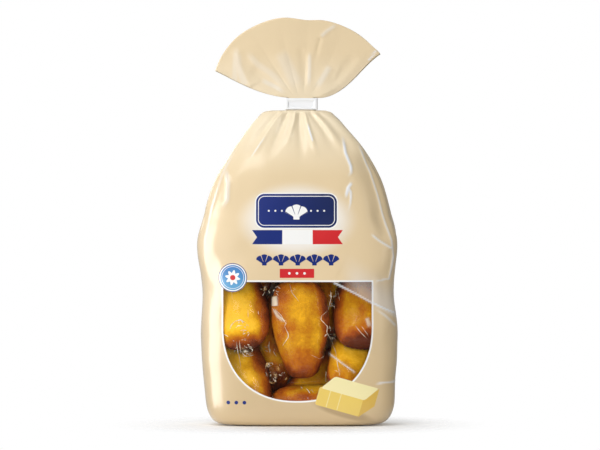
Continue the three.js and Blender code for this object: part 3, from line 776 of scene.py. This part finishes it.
# a polar sheet: angle from across, distance from way, bent down near the clip, pleated, and swept back
def fanSurface(share, way):
    across, deep = fanSection(share)
    across, deep, way = across[None, :], deep[None, :], way[:, None]
    side = (across + 1) / 2
    left, right = fan["reach"][0][0], fan["reach"][-1][0]
    edgeAngle = np.clip(left + (right - left) * side, left, right)
    turn = np.where(across < 0, fan["droopLeft"][0], fan["droopRight"][0])
    rise = np.where(across < 0, fan["droopLeft"][1], fan["droopRight"][1])
    tip = np.where(across < 0, left, right)
    angle = np.radians(edgeAngle + turn * (edgeAngle / tip) ** 2 * (1 - way) ** rise)
    reach = fanReach(edgeAngle) * way
    x = fan["middle"][0] + across * fan["stemHalfWidth"] * (1 - way) + reach * np.sin(angle)
    z = fan["middle"][1] + reach * np.cos(angle)
    pleat = fan["pleat"]
    gathered = smooth(way, pleat["low"], pleat["full"]) * (1 - (1 - pleat["left"]) * smooth(way, pleat["fade"], 1))
    fold = pleat["depth"] * pleatWave(0.5 + side * pleat["across"] / body["pleats"]["round"]) * gathered
    wave = fan["wave"]
    curl = wave["depth"] * np.sin(fullTurn * (wave["across"] * side + wave["start"])) * way**2
    clipHalf, low, edge = fan["halfThick"]
    lowHalf = clipHalf + (low - clipHalf) * smooth(way, 0, pleat["full"])
    half = lowHalf + (edge - lowHalf) * way
    relief, pale = creaseRelief(x, z, fanCreases)
    y = deep * half + fold * 0.45 + curl + fan["sweepBack"] * way * across**2 - relief
    points = np.stack([x, y, z], -1)
    points[..., 1] += 0.35 * noiseAt(points * (1, 0, 1), 17, 11) * smooth(way, 0.1, 0.4)
    return points, pale * (deep < 0)


def makeFan():
    share = np.arange(fan["columns"]) / fan["columns"]
    sheet, pale = fanSurface(share, np.linspace(0, 1, fan["rows"]))
    stem = np.repeat(sheet[:1], fan["stemRows"], 0)
    stem[..., 2] = np.linspace(fan["stemLow"], fan["middle"][1], fan["stemRows"] + 1)[:-1][:, None]
    pale = np.concatenate([np.zeros(stem[..., 0].size), pale.ravel()])
    piece = gridObject("bag_fan", np.concatenate([stem, sheet]), materials["film"], attribute=("pale", pale))
    wall = piece.modifiers.new("wall", "SOLIDIFY")
    wall.thickness = fan["thick"] * millimetre
    wall.offset = -1
    wall.use_rim = True
    return piece


bagFan = makeFan()
print("fan made:", len(bagFan.data.polygons), "faces")


clip = dict(
    middle=2.5, low=251.8, height=9.2, width=26.6, depth=9.0, corner=1.6, wall=1.3, round=0.4,
    panel=dict(width=21, height=6.6, depth=0.95, edge=0.5, topEdge=1.8), columns=220,
)


# a wall's rounded section carried round a rectangle with round corners, its front and back panels pressed in
def makeClip():
    halfX, halfY = clip["width"] / 2 - clip["corner"], clip["depth"] / 2 - clip["corner"]
    turnLength = clip["corner"] * np.pi / 2
    lengths = np.array([2 * halfX, turnLength, 2 * halfY, turnLength] * 2)
    way = np.arange(clip["columns"]) / clip["columns"] * lengths.sum()
    starts = np.concatenate([[0], np.cumsum(lengths)])
    part = np.searchsorted(starts, way, side="right") - 1
    share = (way - starts[part]) / lengths[part]
    corners = np.array([(halfX, -halfY), (halfX, halfY), (-halfX, halfY), (-halfX, -halfY)])
    side = part // 2
    straight = part % 2 == 0
    turn = np.where(straight, side * np.pi / 2 - np.pi / 2, (side + share) * np.pi / 2 - np.pi / 2)
    outX, outY = np.cos(turn), np.sin(turn)
    start, end = corners[side - 1], corners[side]
    middle = np.where(straight[:, None], start + (end - start) * share[:, None], corners[side])
    halfWall, halfHigh, corner = clip["wall"] / 2, clip["height"] / 2, clip["round"]
    round8 = np.linspace(0, np.pi / 2, 5)
    rise = np.linspace(-halfHigh + corner, halfHigh - corner, 40)
    section = [(halfWall, value) for value in rise]
    section += [(halfWall - corner + corner * np.cos(a), halfHigh - corner + corner * np.sin(a)) for a in round8[1:]]
    section += [(-halfWall + corner - corner * np.sin(a), halfHigh - corner + corner * np.cos(a)) for a in round8]
    section += [(-halfWall, value) for value in rise[::-1][1:]]
    section += [(-halfWall + corner - corner * np.cos(a), -halfHigh + corner - corner * np.sin(a)) for a in round8[1:]]
    section += [(halfWall - corner + corner * np.sin(a), -halfHigh + corner - corner * np.cos(a)) for a in round8[:-1]]
    out, up = np.array(section).T
    panel = clip["panel"]
    edge = panel["edge"]
    across = 1 - smooth(np.abs(middle[:, 0]), panel["width"] / 2 - edge, panel["width"] / 2)
    across = across * (np.abs(outY) > 0.99)
    upward = 1 - smooth(-up, panel["height"] / 2 - edge, panel["height"] / 2)
    upward = upward * (1 - smooth(up, panel["height"] / 2 - panel["topEdge"], panel["height"] / 2))
    pressed = panel["depth"] * upward[:, None] * across[None, :] * (out > 0)[:, None]
    reach = clip["corner"] - clip["wall"] / 2 + out[:, None] - pressed
    x = middle[None, :, 0] + outX * reach + clip["middle"]
    y = middle[None, :, 1] + outY * reach
    z = np.broadcast_to(up[:, None] + clip["low"] + halfHigh, x.shape)
    return gridObject("neck_clip", np.stack([x, y, z], -1), materials["clip"], closeRows=True)


neckClip = makeClip()
print("clip made")


cake = dict(
    length=80, width=46, square=3.1, narrowing=(0.28, -0.15, 0.8), brim=3.5, hump=10, domeFall=1.5,
    shell=14.5, ribs=7, ribDepth=1.0, rows=72, columns=128, poleBrown=(0.95, 0.75),
)

# name, middle, lean to the right, lean back, roll; the name is the node's that it stands for
cakes = [
    ("madeleine_centre", (2.2, -24.2, 77.8), -3, 0, 0),
    ("madeleine_upper_left", (-47.3, -15.6, 98.3), 171, -24, 0),
    ("madeleine_upper_right", (50.4, -8.2, 96.6), 181, -33, 0),
    ("madeleine_lower_left", (-45.4, -9.6, 39.3), -26, 28, 0),
    ("madeleine_lower_right", (47.2, -5.5, 55), 34, 46, 0),
    ("madeleine_bottom", (18.2, -11.5, 18.4), 92, 0, -90),
    ("madeleine_behind", (-16, 12, 66), 12, 0, 0),
]

# the rest of the ten, which no window shows whole
hiddenCakes = [
    ("madeleine_hidden_right", (21.5, 22, 109), 170, 7, 9),
    ("madeleine_hidden_low", (17.8, 22.1, 31.5), 61, 0, 3),
    ("madeleine_hidden_left", (-45.3, 20.4, 111.4), 14, 4, 8),
]


# turn about the length, then backwards, then to the right, and move to the middle
def placed(points, middle, lean, back, roll):
    lean, back, roll = np.radians([lean, -back, roll])
    aboutZ = np.array([[np.cos(roll), -np.sin(roll), 0], [np.sin(roll), np.cos(roll), 0], [0, 0, 1]])
    aboutX = np.array([[1, 0, 0], [0, np.cos(back), -np.sin(back)], [0, np.sin(back), np.cos(back)]])
    aboutY = np.array([[np.cos(lean), 0, np.sin(lean)], [0, 1, 0], [-np.sin(lean), 0, np.cos(lean)]])
    return points @ (aboutY @ aboutX @ aboutZ).T + np.array(middle)


# one cake: superellipse outline along its length, a smooth dome in front, which is hump * sin^domeFall over the
# brim, and a ribbed shell behind
def cakeSurface(up, angle):
    full = (1 - np.abs(up) ** cake["square"]) ** (1 / cake["square"])
    share, start, end = cake["narrowing"]
    half = cake["width"] / 2 * full * (1 - share * smooth(-up, start, end))
    across = np.cos(angle)
    rounding = np.abs(np.sin(angle)) ** 0.8
    crown = cake["hump"] * np.abs(np.sin(angle)) ** cake["domeFall"] * full**0.6
    rib = cake["ribDepth"] * np.cos(cake["ribs"] * np.pi * across) * full
    shell = (cake["shell"] * full - cake["ribDepth"]) * rounding**0.1 + rib
    y = np.where(np.sin(angle) < 0, -(cake["brim"] * rounding + crown) * full, shell * rounding)
    return np.stack([half * across, y, np.broadcast_to(up * cake["length"] / 2, y.shape)], -1)


# how brown a cake is in its middle, and how much browner at its left and right rim (how much, and from which share
# of the half width on), at its narrow end and at its wide end
# middles partly painted light and shade: cakes lying in shade are paler, the brightly lit centre cake browner
browning = dict(
    madeleine_centre=(0.32, (0.26, 0.1), (0.56, 0.6), 0.5, 0.3),
    madeleine_upper_left=(0.06, (0.85, 0.3), (0.4, 0.5), 0.8, 0.85),
    madeleine_upper_right=(0.44, (0.3, 0.5), (0.5, 0.5), 0.6, 0.65),
    madeleine_lower_left=(0.02, (0.4, 0.5), (0.8, 0.35), 0.75, 0.8),
    madeleine_lower_right=(0.06, (0.4, 0.5), (0.4, 0.5), 0.3, 0.6),
    madeleine_bottom=(0.22, (0.4, 0.5), (0.4, 0.5), 0.5, 0.5),
)
evenBrown = (0.46, (0.5, 0.5), (0.5, 0.5), 0.5, 0.5)  # the cakes behind


def makeCake(name, middle, lean, back, roll, seed):
    turn = np.linspace(0, np.pi, cake["rows"] + 2)[1:-1]
    up = -np.cos(turn - 0.18 * np.sin(2 * turn))[:, None]
    angle = anglesRound(cake["columns"])
    points = cakeSurface(up, angle)
    lumps = 0.5 * noiseAt(points, 16, seed) + 0.22 * noiseAt(points, 6, seed + 1)
    points = points * (1 + (lumps / 22)[..., None])
    least, left, right, narrow, wide = browning.get(name, evenBrown)
    ends = np.maximum(narrow * smooth(-up, 0.28, 0.9), wide * smooth(up, 0.62, 1))
    rims = left[0] * smooth(-np.cos(angle), left[1], 0.98) + right[0] * smooth(np.cos(angle), right[1], 0.98)
    browned = least + np.maximum(rims, ends)
    turned = smooth(np.sin(angle), -0.3, 0.2)
    browned = browned * (1 - turned) + np.maximum(browned, 0.8) * turned
    browned = browned + 0.16 * noiseAt(points, 15, seed + 2) + 0.12 * noiseAt(points, 6, seed + 3)
    browned = np.append(browned, cake["poleBrown"])
    halfLength = cake["length"] / 2
    poles = placed(np.array([[0, 0, -halfLength], [0, 0, halfLength]]), middle, lean, back, roll)
    points = placed(points, middle, lean, back, roll)
    return gridObject(name + "_cake", points, materials["sponge"], *poles, attribute=("browned", browned))


wrapper = dict(
    rows=150, columns=190, turned=0.93, slack=0.9, past=3.5, endHalf=13.0, endThick=0.5, crinkle=0.28,
    pitch=(11, 30), gather=0.8, gathers=13, gatherFrom=30,
)

# broad creases of the wrappers, seen from the front: marks are (x, z). Their pale shares are painted glints where a
# facet faces the light
wrapperCreases = [
    dict(marks=[(-19.2, 103.4), (-18.4, 95.6)], height=0.4, width=2.2, ends=(0.05, 0.05), pale=(0.8, 2.6)),
    dict(marks=[(-19.8, 94), (-16, 87.6), (-12, 84.4), (-9.4, 82.6)], height=0.5, width=1.6, pale=(0.5, 1.5)),
    dict(marks=[(25.0, 74), (27.0, 68.5)], height=0.4, width=1.6, ends=(0.2, 0.2), pale=(0.7, 1.9)),
    dict(marks=[(-58.6, 73.6), (-51.6, 69.5)], height=0.4, width=1.4, ends=(0.1, 0.1), pale=(0.6, 1.3)),
    dict(marks=[(54.4, 87), (57.4, 78)], height=0.4, width=1.6, pale=(0.5, 1.8)),
    dict(marks=[(-43.5, 60.5), (-36, 55.6)], height=0.4, width=1.4, pale=(0.5, 1.5)),
]

# sharp folds of the wrappers: width, then marks (x, z)
foldLines = [
    (0.9, [(-20.6, 94.5), (-17.2, 89), (-15.6, 87.8), (-12.4, 85.4), (-9.2, 83.4)]),
    (0.9, [(-9.2, 83.4), (-10.6, 79.5), (-7.7, 73.8), (-7.7, 71), (-12.5, 63.6)]),
    (0.8, [(-16.6, 91.5), (-13.2, 88.2), (-11.6, 84.6), (-9.0, 81.4)]),
    (0.8, [(25.7, 114), (26.2, 101.4), (23.8, 92)]),
    (0.9, [(23.8, 92), (18.6, 87.6), (18.2, 84.8), (23.3, 79.5), (22.8, 74.7), (26.6, 68)]),
    (0.8, [(26.6, 68), (30, 58.6), (31.4, 49), (33.3, 39.4)]),
    (0.9, [(-48.8, 68), (-47.4, 58), (-45.4, 46.2)]),
    (0.8, [(-46.4, 69), (-45.4, 58.6)]),
    (1.1, [(-59, 73.4), (-55.4, 71.6), (-51.6, 69.5)]),
    (1.2, [(-45.2, 60), (-42.4, 56.4), (-39.6, 55.2), (-35, 56.2)]),
    (1.1, [(-38.6, 62.4), (-35.8, 61.2), (-36.6, 59.2)]),
    (1.2, [(-23, 66.6), (-23.2, 61.4), (-22.4, 57)]),
    (1.1, [(-19.8, 59), (-18.6, 56.4), (-16.8, 54.2)]),
    (0.6, [(-39.6, 93), (-39.4, 86)]),
    (0.6, [(-52.6, 109), (-52.2, 101)]),
    (0.6, [(-31.6, 91.8), (-31.2, 89)]),
    (0.8, [(45.2, 80.4), (49.6, 74.8), (54.3, 70)]),
    (0.7, [(50.5, 79.6), (56, 71.8)]),
    (0.6, [(30.4, 111), (30, 102.4)]),
    (0.6, [(31.6, 107), (33.2, 99)]),
    (1.1, [(6.2, 30), (7.6, 29), (9.6, 26.3)]),
    (0.6, [(22.3, 43.4), (21.8, 35.4)]),
    (0.7, [(24, 58.4), (34, 50.6), (45, 43.2)]),
    (0.6, [(29, 45), (31.6, 43.6), (33.4, 45.4)]),
    (0.6, [(-6.6, 113), (-4.6, 106), (1.4, 98.6)]),
    (0.5, [(10.4, 57), (17.4, 53.6), (23, 57)]),
    (1.5, [(-54.2, 73.5), (-53.2, 80), (-50, 83.6), (-45.6, 84.8), (-41.4, 82.6)]),
    (1.1, [(-50.8, 71.4), (-50.4, 77), (-47.6, 80), (-43.4, 80.4)]),
    (0.9, [(-47.6, 72.6), (-44.6, 76.8), (-40.2, 76.4)]),
]

# clusters of short folds: middle, half width, half height, how many, how they swirl
foldClusters = [
    ((-21.5, 110.5), 7, 5.5, 15, 0.7),
    ((-45.5, 76), 8.5, 8, 20, 1.4),
    ((-44, 62), 7, 5, 9, 0.2),
    ((-18.5, 43), 7.5, 6.5, 16, 0.9),
    ((-21.5, 60), 4, 6, 6, -1.2),
    ((27.5, 100), 2.5, 5, 6, 1.3),
    ((24.5, 73), 3, 5, 6, 0.6),
    ((7, 29), 4, 3, 4, 0.3),
]


# how far out a point is in the bag's section at its height, 1 on the film
def reachInBag(points):
    sizes = [np.interp(points[..., 2], stations[:, 0], stations[:, column]) for column in (1, 2, 3, 4)]
    middle, halfWidth, halfDepth, square = sizes
    across, deep = np.abs(points[..., 0] - middle) / halfWidth, np.abs(points[..., 1]) / halfDepth
    return (across**square + deep**square) ** (1 / square), middle


# the points drawn in towards the bag's middle where they would touch its film
def keptInside(points, limit=0.975):
    reach, middle = reachInBag(points)
    share = np.minimum(1, limit / np.maximum(reach, 0.01))
    points = points.copy()
    points[..., 0] = middle + (points[..., 0] - middle) * share
    points[..., 1] *= share
    points[..., 2] = np.maximum(points[..., 2], 2.5)
    return points


# a thin film drawn close round a cake: the cake's own outline let out by the slack, its ends gathered flat
def makeWrapper(name, middle, lean, back, roll, seed):
    halfLength = cake["length"] / 2
    length = halfLength + wrapper["past"]
    turn = np.linspace(-np.pi / 2, np.pi / 2, wrapper["rows"] + 2)[1:-1] * wrapper["turned"]
    z = (length * np.sin(turn) / np.sin(np.pi / 2 * wrapper["turned"]))[:, None]
    angle = anglesRound(wrapper["columns"])
    held = cakeSurface(np.clip(z / halfLength, -0.95, 0.95), angle)
    radius = np.hypot(held[..., 0], held[..., 1])
    grown = (radius + wrapper["slack"]) / np.maximum(radius, 0.5)
    x, y = held[..., 0] * grown, held[..., 1] * grown
    end = smooth(np.abs(z), halfLength * 0.9, length)
    x = x * (1 - end) + np.cos(angle) * wrapper["endHalf"] * end
    y = y * (1 - end) + np.sin(angle) * wrapper["endThick"] * end
    generator = np.random.default_rng(seed)
    crinkle = np.zeros(x.shape)
    for _ in range(6):
        direction = generator.uniform(0, np.pi)
        pitch = generator.uniform(*wrapper["pitch"])
        phase = generator.uniform(0, np.pi)
        along = angle * 20 * np.cos(direction) + z * np.sin(direction)
        crinkle += (0.64 - np.abs(np.sin(np.pi * along / pitch + phase))) * generator.uniform(0.3, 1)
    gather = np.cos(wrapper["gathers"] * angle + 2 * np.sin(3 * angle + seed))
    gather = gather * smooth(np.abs(z), wrapper["gatherFrom"], length) * (1 - 0.7 * end)
    push = np.maximum(wrapper["crinkle"] * crinkle + wrapper["gather"] * gather, -wrapper["slack"] * 0.6)
    size = np.maximum(np.hypot(x, y), 0.3)
    x, y = x * (1 + push / size), y * (1 + push / size)
    points = np.stack([x, y, np.broadcast_to(z, x.shape)], -1)
    poles = placed(np.array([points[0].mean(0), points[-1].mean(0)]), middle, lean, back, roll)
    points = placed(points, middle, lean, back, roll)
    relief, pale = creaseRelief(points[..., 0], points[..., 2], wrapperCreases)
    front = smooth(middle[1] - points[..., 1], 0, 4)
    points[..., 1] -= relief * front
    pale = np.append(pale * front, [0, 0])
    return gridObject(name + "_wrapper", keptInside(points), materials["wrap"], *poles, attribute=("pale", pale))


# how near the front the wrappers come: the least y in each cell of a raster seen from the front
def frontDepths(pieces, cell=1.2):
    depths = np.full((134, 110), 30.0)
    for piece in pieces:
        corners = np.empty(len(piece.data.vertices) * 3, np.float32)
        piece.data.vertices.foreach_get("co", corners)
        x, y, z = corners.reshape(-1, 3).T / millimetre
        places = ((x + 80) / cell).astype(int).clip(0, 133), (z / cell).astype(int).clip(0, 109)
        np.minimum.at(depths, places, y)
    return depths


# one sharp fold: a flat spindle along its marks, width * sin(pi s)^0.6 * (0.5 + 0.35 noise) wide, lying on the
# wrappers
def foldSpindle(width, marks, depths, cell=1.2):
    marks = np.asarray(marks, float)
    way = wayAlong(*marks.T)
    share = np.linspace(0, 1, max(9, int(way[-1] / 0.6)))
    x, z = (np.interp(share * way[-1], way, marks[:, axis]) for axis in (0, 1))
    rows, columns = ((x + 80) / cell).astype(int).clip(0, 133), (z / cell).astype(int).clip(0, 109)
    y = depths[rows, columns]
    y = np.minimum(np.convolve(np.pad(y, 2, "edge"), np.ones(5) / 5, "valid"), y + 0.6) - 0.25
    alongX, alongZ = np.gradient(x), np.gradient(z)
    size = np.hypot(alongX, alongZ)
    acrossX, acrossZ = -alongZ / size, alongX / size
    uneven = 0.5 + 0.35 * noiseAt(np.stack([x, 0 * x, z], -1), 2.2, 31)
    half = width / 2 * np.sin(np.pi * share.clip(0.02, 0.98)) ** 0.6 * uneven
    section = [(-1, 0), (0, 1), (1, 0), (0, -1)]
    rings = [np.stack([x + acrossX * half * u, y + 0.12 * v, z + acrossZ * half * u], -1) for u, v in section]
    return keptInside(np.stack(rings, 1), 0.99)


# short folds of a cluster: zigzags of two or three marks that follow a swirl round its middle
def clusterLines(middle, halfWide, halfHigh, count, swirl, generator):
    lines = []
    for _ in range(count):
        turn, reach = generator.uniform(0, fullTurn), np.sqrt(generator.uniform(0.02, 1))
        mark = np.array(middle) + reach * np.array([np.cos(turn) * halfWide, np.sin(turn) * halfHigh])
        heading = turn + swirl + generator.normal() * 0.5
        marks = [mark]
        for _ in range(generator.integers(1, 3)):
            heading += generator.normal() * 0.7
            marks.append(marks[-1] + generator.uniform(1.0, 2.2) * np.array([np.cos(heading), np.sin(heading)]))
        lines.append((generator.uniform(0.5, 1.5), marks))
    return lines


def makeFolds(name, lines, depths, material):
    spindles = [foldSpindle(width, marks, depths) for width, marks in lines]
    pieces = [gridObject(name, points, None, points[0].mean(0), points[-1].mean(0)) for points in spindles]
    with bpy.context.temp_override(active_object=pieces[0], selected_editable_objects=pieces):
        bpy.ops.object.join()
    pieces[0].data.materials.append(material)
    return pieces[0]


# tufts are paler along their fold crests: partly film in many layers, partly painted glints
tuft = dict(rows=26, columns=40, folds=3.4, depth=0.2, pale=0.4, paleFrom=(1.3, 2.0))

# crumpled ends of wrappers between the cakes: middle, half sizes
tufts = [
    ("tuft_top", (-20.5, -27, 109), (7.5, 4, 6.5)),
    ("tuft_left", (-45, -30.5, 76), (8.5, 4, 8)),
    ("tuft_left_low", (-42.5, -29, 62), (6, 3, 5.5)),
    ("tuft_low", (-17.5, -24.5, 42.5), (7.5, 4, 6.5)),
    ("tuft_right", (27.5, -24, 71), (3.2, 3, 6)),
    ("tuft_upper_right", (26.5, -25, 100), (3, 3, 5)),
]


# a ball of folded film: radius 1 + depth * sum of (0.64 - |sin(folds * (way . direction) + phase)|)
def makeTuft(name, middle, half, seed):
    turn = np.linspace(0, np.pi, tuft["rows"] + 2)[1:-1][:, None]
    angle = anglesRound(tuft["columns"])
    ways = np.stack([np.sin(turn) * np.cos(angle), np.sin(turn) * np.sin(angle), -np.cos(turn) + 0 * angle], -1)
    generator = np.random.default_rng(seed)
    fold = np.zeros(ways.shape[:-1])
    for _ in range(6):
        direction = generator.normal(size=3)
        direction = direction / np.linalg.norm(direction)
        fold += 0.64 - np.abs(np.sin(tuft["folds"] * (ways @ direction) + generator.uniform(0, np.pi)))
    points = np.array(middle) + ways * np.array(half) * (1 + tuft["depth"] * fold)[..., None]
    poles = np.array(middle) + np.array([[0, 0, -half[2]], [0, 0, half[2]]])
    # paler crests, partly painted glints
    pale = np.append(tuft["pale"] * smooth(fold, *tuft["paleFrom"]), [0, 0])
    piece = gridObject(name, keptInside(points), materials["tuft"], *poles, attribute=("pale", pale))
    piece.data.shade_flat()
    return piece


cakePieces = [makeCake(*values, seed=20 + index * 7) for index, values in enumerate(cakes + hiddenCakes)]
wrapperPieces = [makeWrapper(*values, seed=60 + index * 5) for index, values in enumerate(cakes)]
tuftPieces = [makeTuft(*values, seed=90 + index * 3) for index, values in enumerate(tufts)]
swirls = np.random.default_rng(7)
clusters = [line for values in foldClusters for line in clusterLines(*values, generator=swirls)]
depths = frontDepths(wrapperPieces + tuftPieces)
# whitish spindles along the folds, partly painted glints
folds = makeFolds("wrapper_folds", foldLines, depths, materials["fold"])
crumples = makeFolds("wrapper_crumples", clusters, depths, materials["crumple"])
print("cakes and wrappers made:", len(cakePieces))


camera = dict(target=(0.0016, 0.0, 0.1596), distance=3.2, elevation=0.3, acrossFrame=0.48)


def makeCamera():
    elevation = np.radians(camera["elevation"])
    target = np.array(camera["target"])
    offset = camera["distance"] * np.array([0, -np.cos(elevation), np.sin(elevation)])
    data = bpy.data.cameras.new("photoCamera")
    data.sensor_width = 36
    data.lens = 36 * camera["distance"] / camera["acrossFrame"]
    data.clip_end = 50
    made = bpy.data.objects.new("photoCamera", data)
    made.location = target + offset
    made.rotation_euler = (np.pi / 2 - elevation, 0, 0)
    bpy.context.scene.collection.objects.link(made)
    bpy.context.scene.camera = made


def makeFloor():
    angle = np.arange(64) / 64 * fullTurn
    radius = np.array([0.25, 0.5, 0.75, 1.0])[:, None] * 1400
    points = np.stack([radius * np.cos(angle), radius * np.sin(angle), 0 * radius + 0 * angle], -1)
    floor = gridObject("studio_floor", points[::-1], highPole=(0, 0, 0))
    paint = Paint("paleFloor")
    x, y, _ = paint.place()
    faded = 1 - paint.ramp(paint.hypot(x, y), 40.0, 160.0)
    paper = paint.node("ShaderNodeBsdfDiffuse", {}, {"Color": (0.96, 0.96, 0.96, 1)})
    clear = paint.node("ShaderNodeBsdfTransparent")
    floor.data.materials.append(paint.finish(paint.node("ShaderNodeMixShader", {}, {0: faded, 1: clear, 2: paper})))


# strength of the light from all round; shares that it loses to the right and behind; share that a mirror image
# of what is straight in front loses
sky = dict(strength=0.68, right=0.84, back=0.3, mirrored=0.75)

# name, azimuth and elevation of where it stands, distance, width, height, power, whether it lights matt
# surfaces, and whether glossy ones mirror it
lights = [
    ("frontKey", -31, 8, 2.2, 0.9, 0.9, 19, True, False),
    ("overFront", -24, 62, 2.0, 0.8, 0.8, 10, True, False),
    ("lowRight", 62, -26, 0.7, 0.3, 0.1, 1.1, True, False),
    ("cakeFill", 5, 3, 2.2, 0.6, 0.6, 11, True, False),
    ("highLeft", -25, 42, 2.2, 0.6, 0.6, 3, False, True),
    ("sideLeft", -74, 0, 0.8, 0.55, 0.8, 6.6, False, True),
    ("highRight", 38, 40, 1.8, 0.12, 0.4, 1.0, False, True),
    ("rimRight", 62, 10, 1.6, 0.16, 1.1, 0.6, False, True),
    ("backLeft", -140, 25, 1.8, 0.8, 0.8, 6, True, True),
    ("backRight", 135, 20, 1.8, 0.8, 0.8, 7, True, False),
]


# white to look at. In a mirror image it is dark straight in front, so that flat film shows no veil
def makeWorld():
    paint = Paint("studio", "worlds")
    x, y, _ = paint.parts(paint.node("ShaderNodeTexCoord"))
    strength = sky["strength"] * (1 - sky["right"] * paint.ramp(x, -0.3, 0.8))
    strength = strength * (1 - sky["back"] * paint.ramp(y, -0.1, 0.7))
    glossy = paint.node("ShaderNodeLightPath", {}, {}, 3)
    strength = strength * (1 - sky["mirrored"] * glossy * (1 - paint.ramp(y, -0.97, -0.6)))
    white = (1, 1, 1, 1)
    lit = paint.node("ShaderNodeBackground", {}, {"Color": white, "Strength": strength})
    backdrop = paint.node("ShaderNodeBackground", {}, {"Color": white})
    seen = paint.node("ShaderNodeLightPath")
    shader = paint.node("ShaderNodeMixShader", {}, {0: seen, 1: lit, 2: backdrop})
    bpy.context.scene.world = paint.finish(shader, "ShaderNodeOutputWorld")


def makeLights():
    for name, azimuth, elevation, distance, width, height, power, matt, mirrored in lights:
        turn, rise = np.radians([azimuth, elevation])
        towards = Vector((np.sin(turn) * np.cos(rise), -np.cos(turn) * np.cos(rise), np.sin(rise)))
        data = bpy.data.lights.new(name, "AREA")
        data.shape = "RECTANGLE"
        data.size, data.size_y, data.energy = width, height, power
        made = bpy.data.objects.new(name, data)
        made.location = Vector(camera["target"]) + towards * distance
        made.rotation_euler = towards.to_track_quat("Z", "Y").to_euler()
        made.visible_diffuse, made.visible_glossy = matt, mirrored
        bpy.context.scene.collection.objects.link(made)
    # the fill is for what lies behind the window, and the light from the left for the bag itself
    inside = cakePieces + wrapperPieces + tuftPieces + [folds, crumples]
    for light, pieces in (("cakeFill", inside), ("sideLeft", [bagBody, bagFan, neckClip])):
        receivers = bpy.data.collections.new(light + "_receivers")
        for piece in pieces:
            receivers.objects.link(piece)
        bpy.data.objects[light].light_linking.receiver_collection = receivers


makeCamera()
makeFloor()
makeWorld()
makeLights()
bpy.context.scene.view_settings.view_transform = "Standard"
print("studio made")


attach(bagBody, "root")
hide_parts("bag", "window_film")
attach(bagFan, "root")
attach(neckClip, "root")
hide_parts("clip")
for piece in cakePieces:
    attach(piece, "root")
for (name, *_), piece in zip(cakes, cakePieces):
    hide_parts(name)
for piece in wrapperPieces + tuftPieces + [folds, crumples]:
    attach(piece, "root")
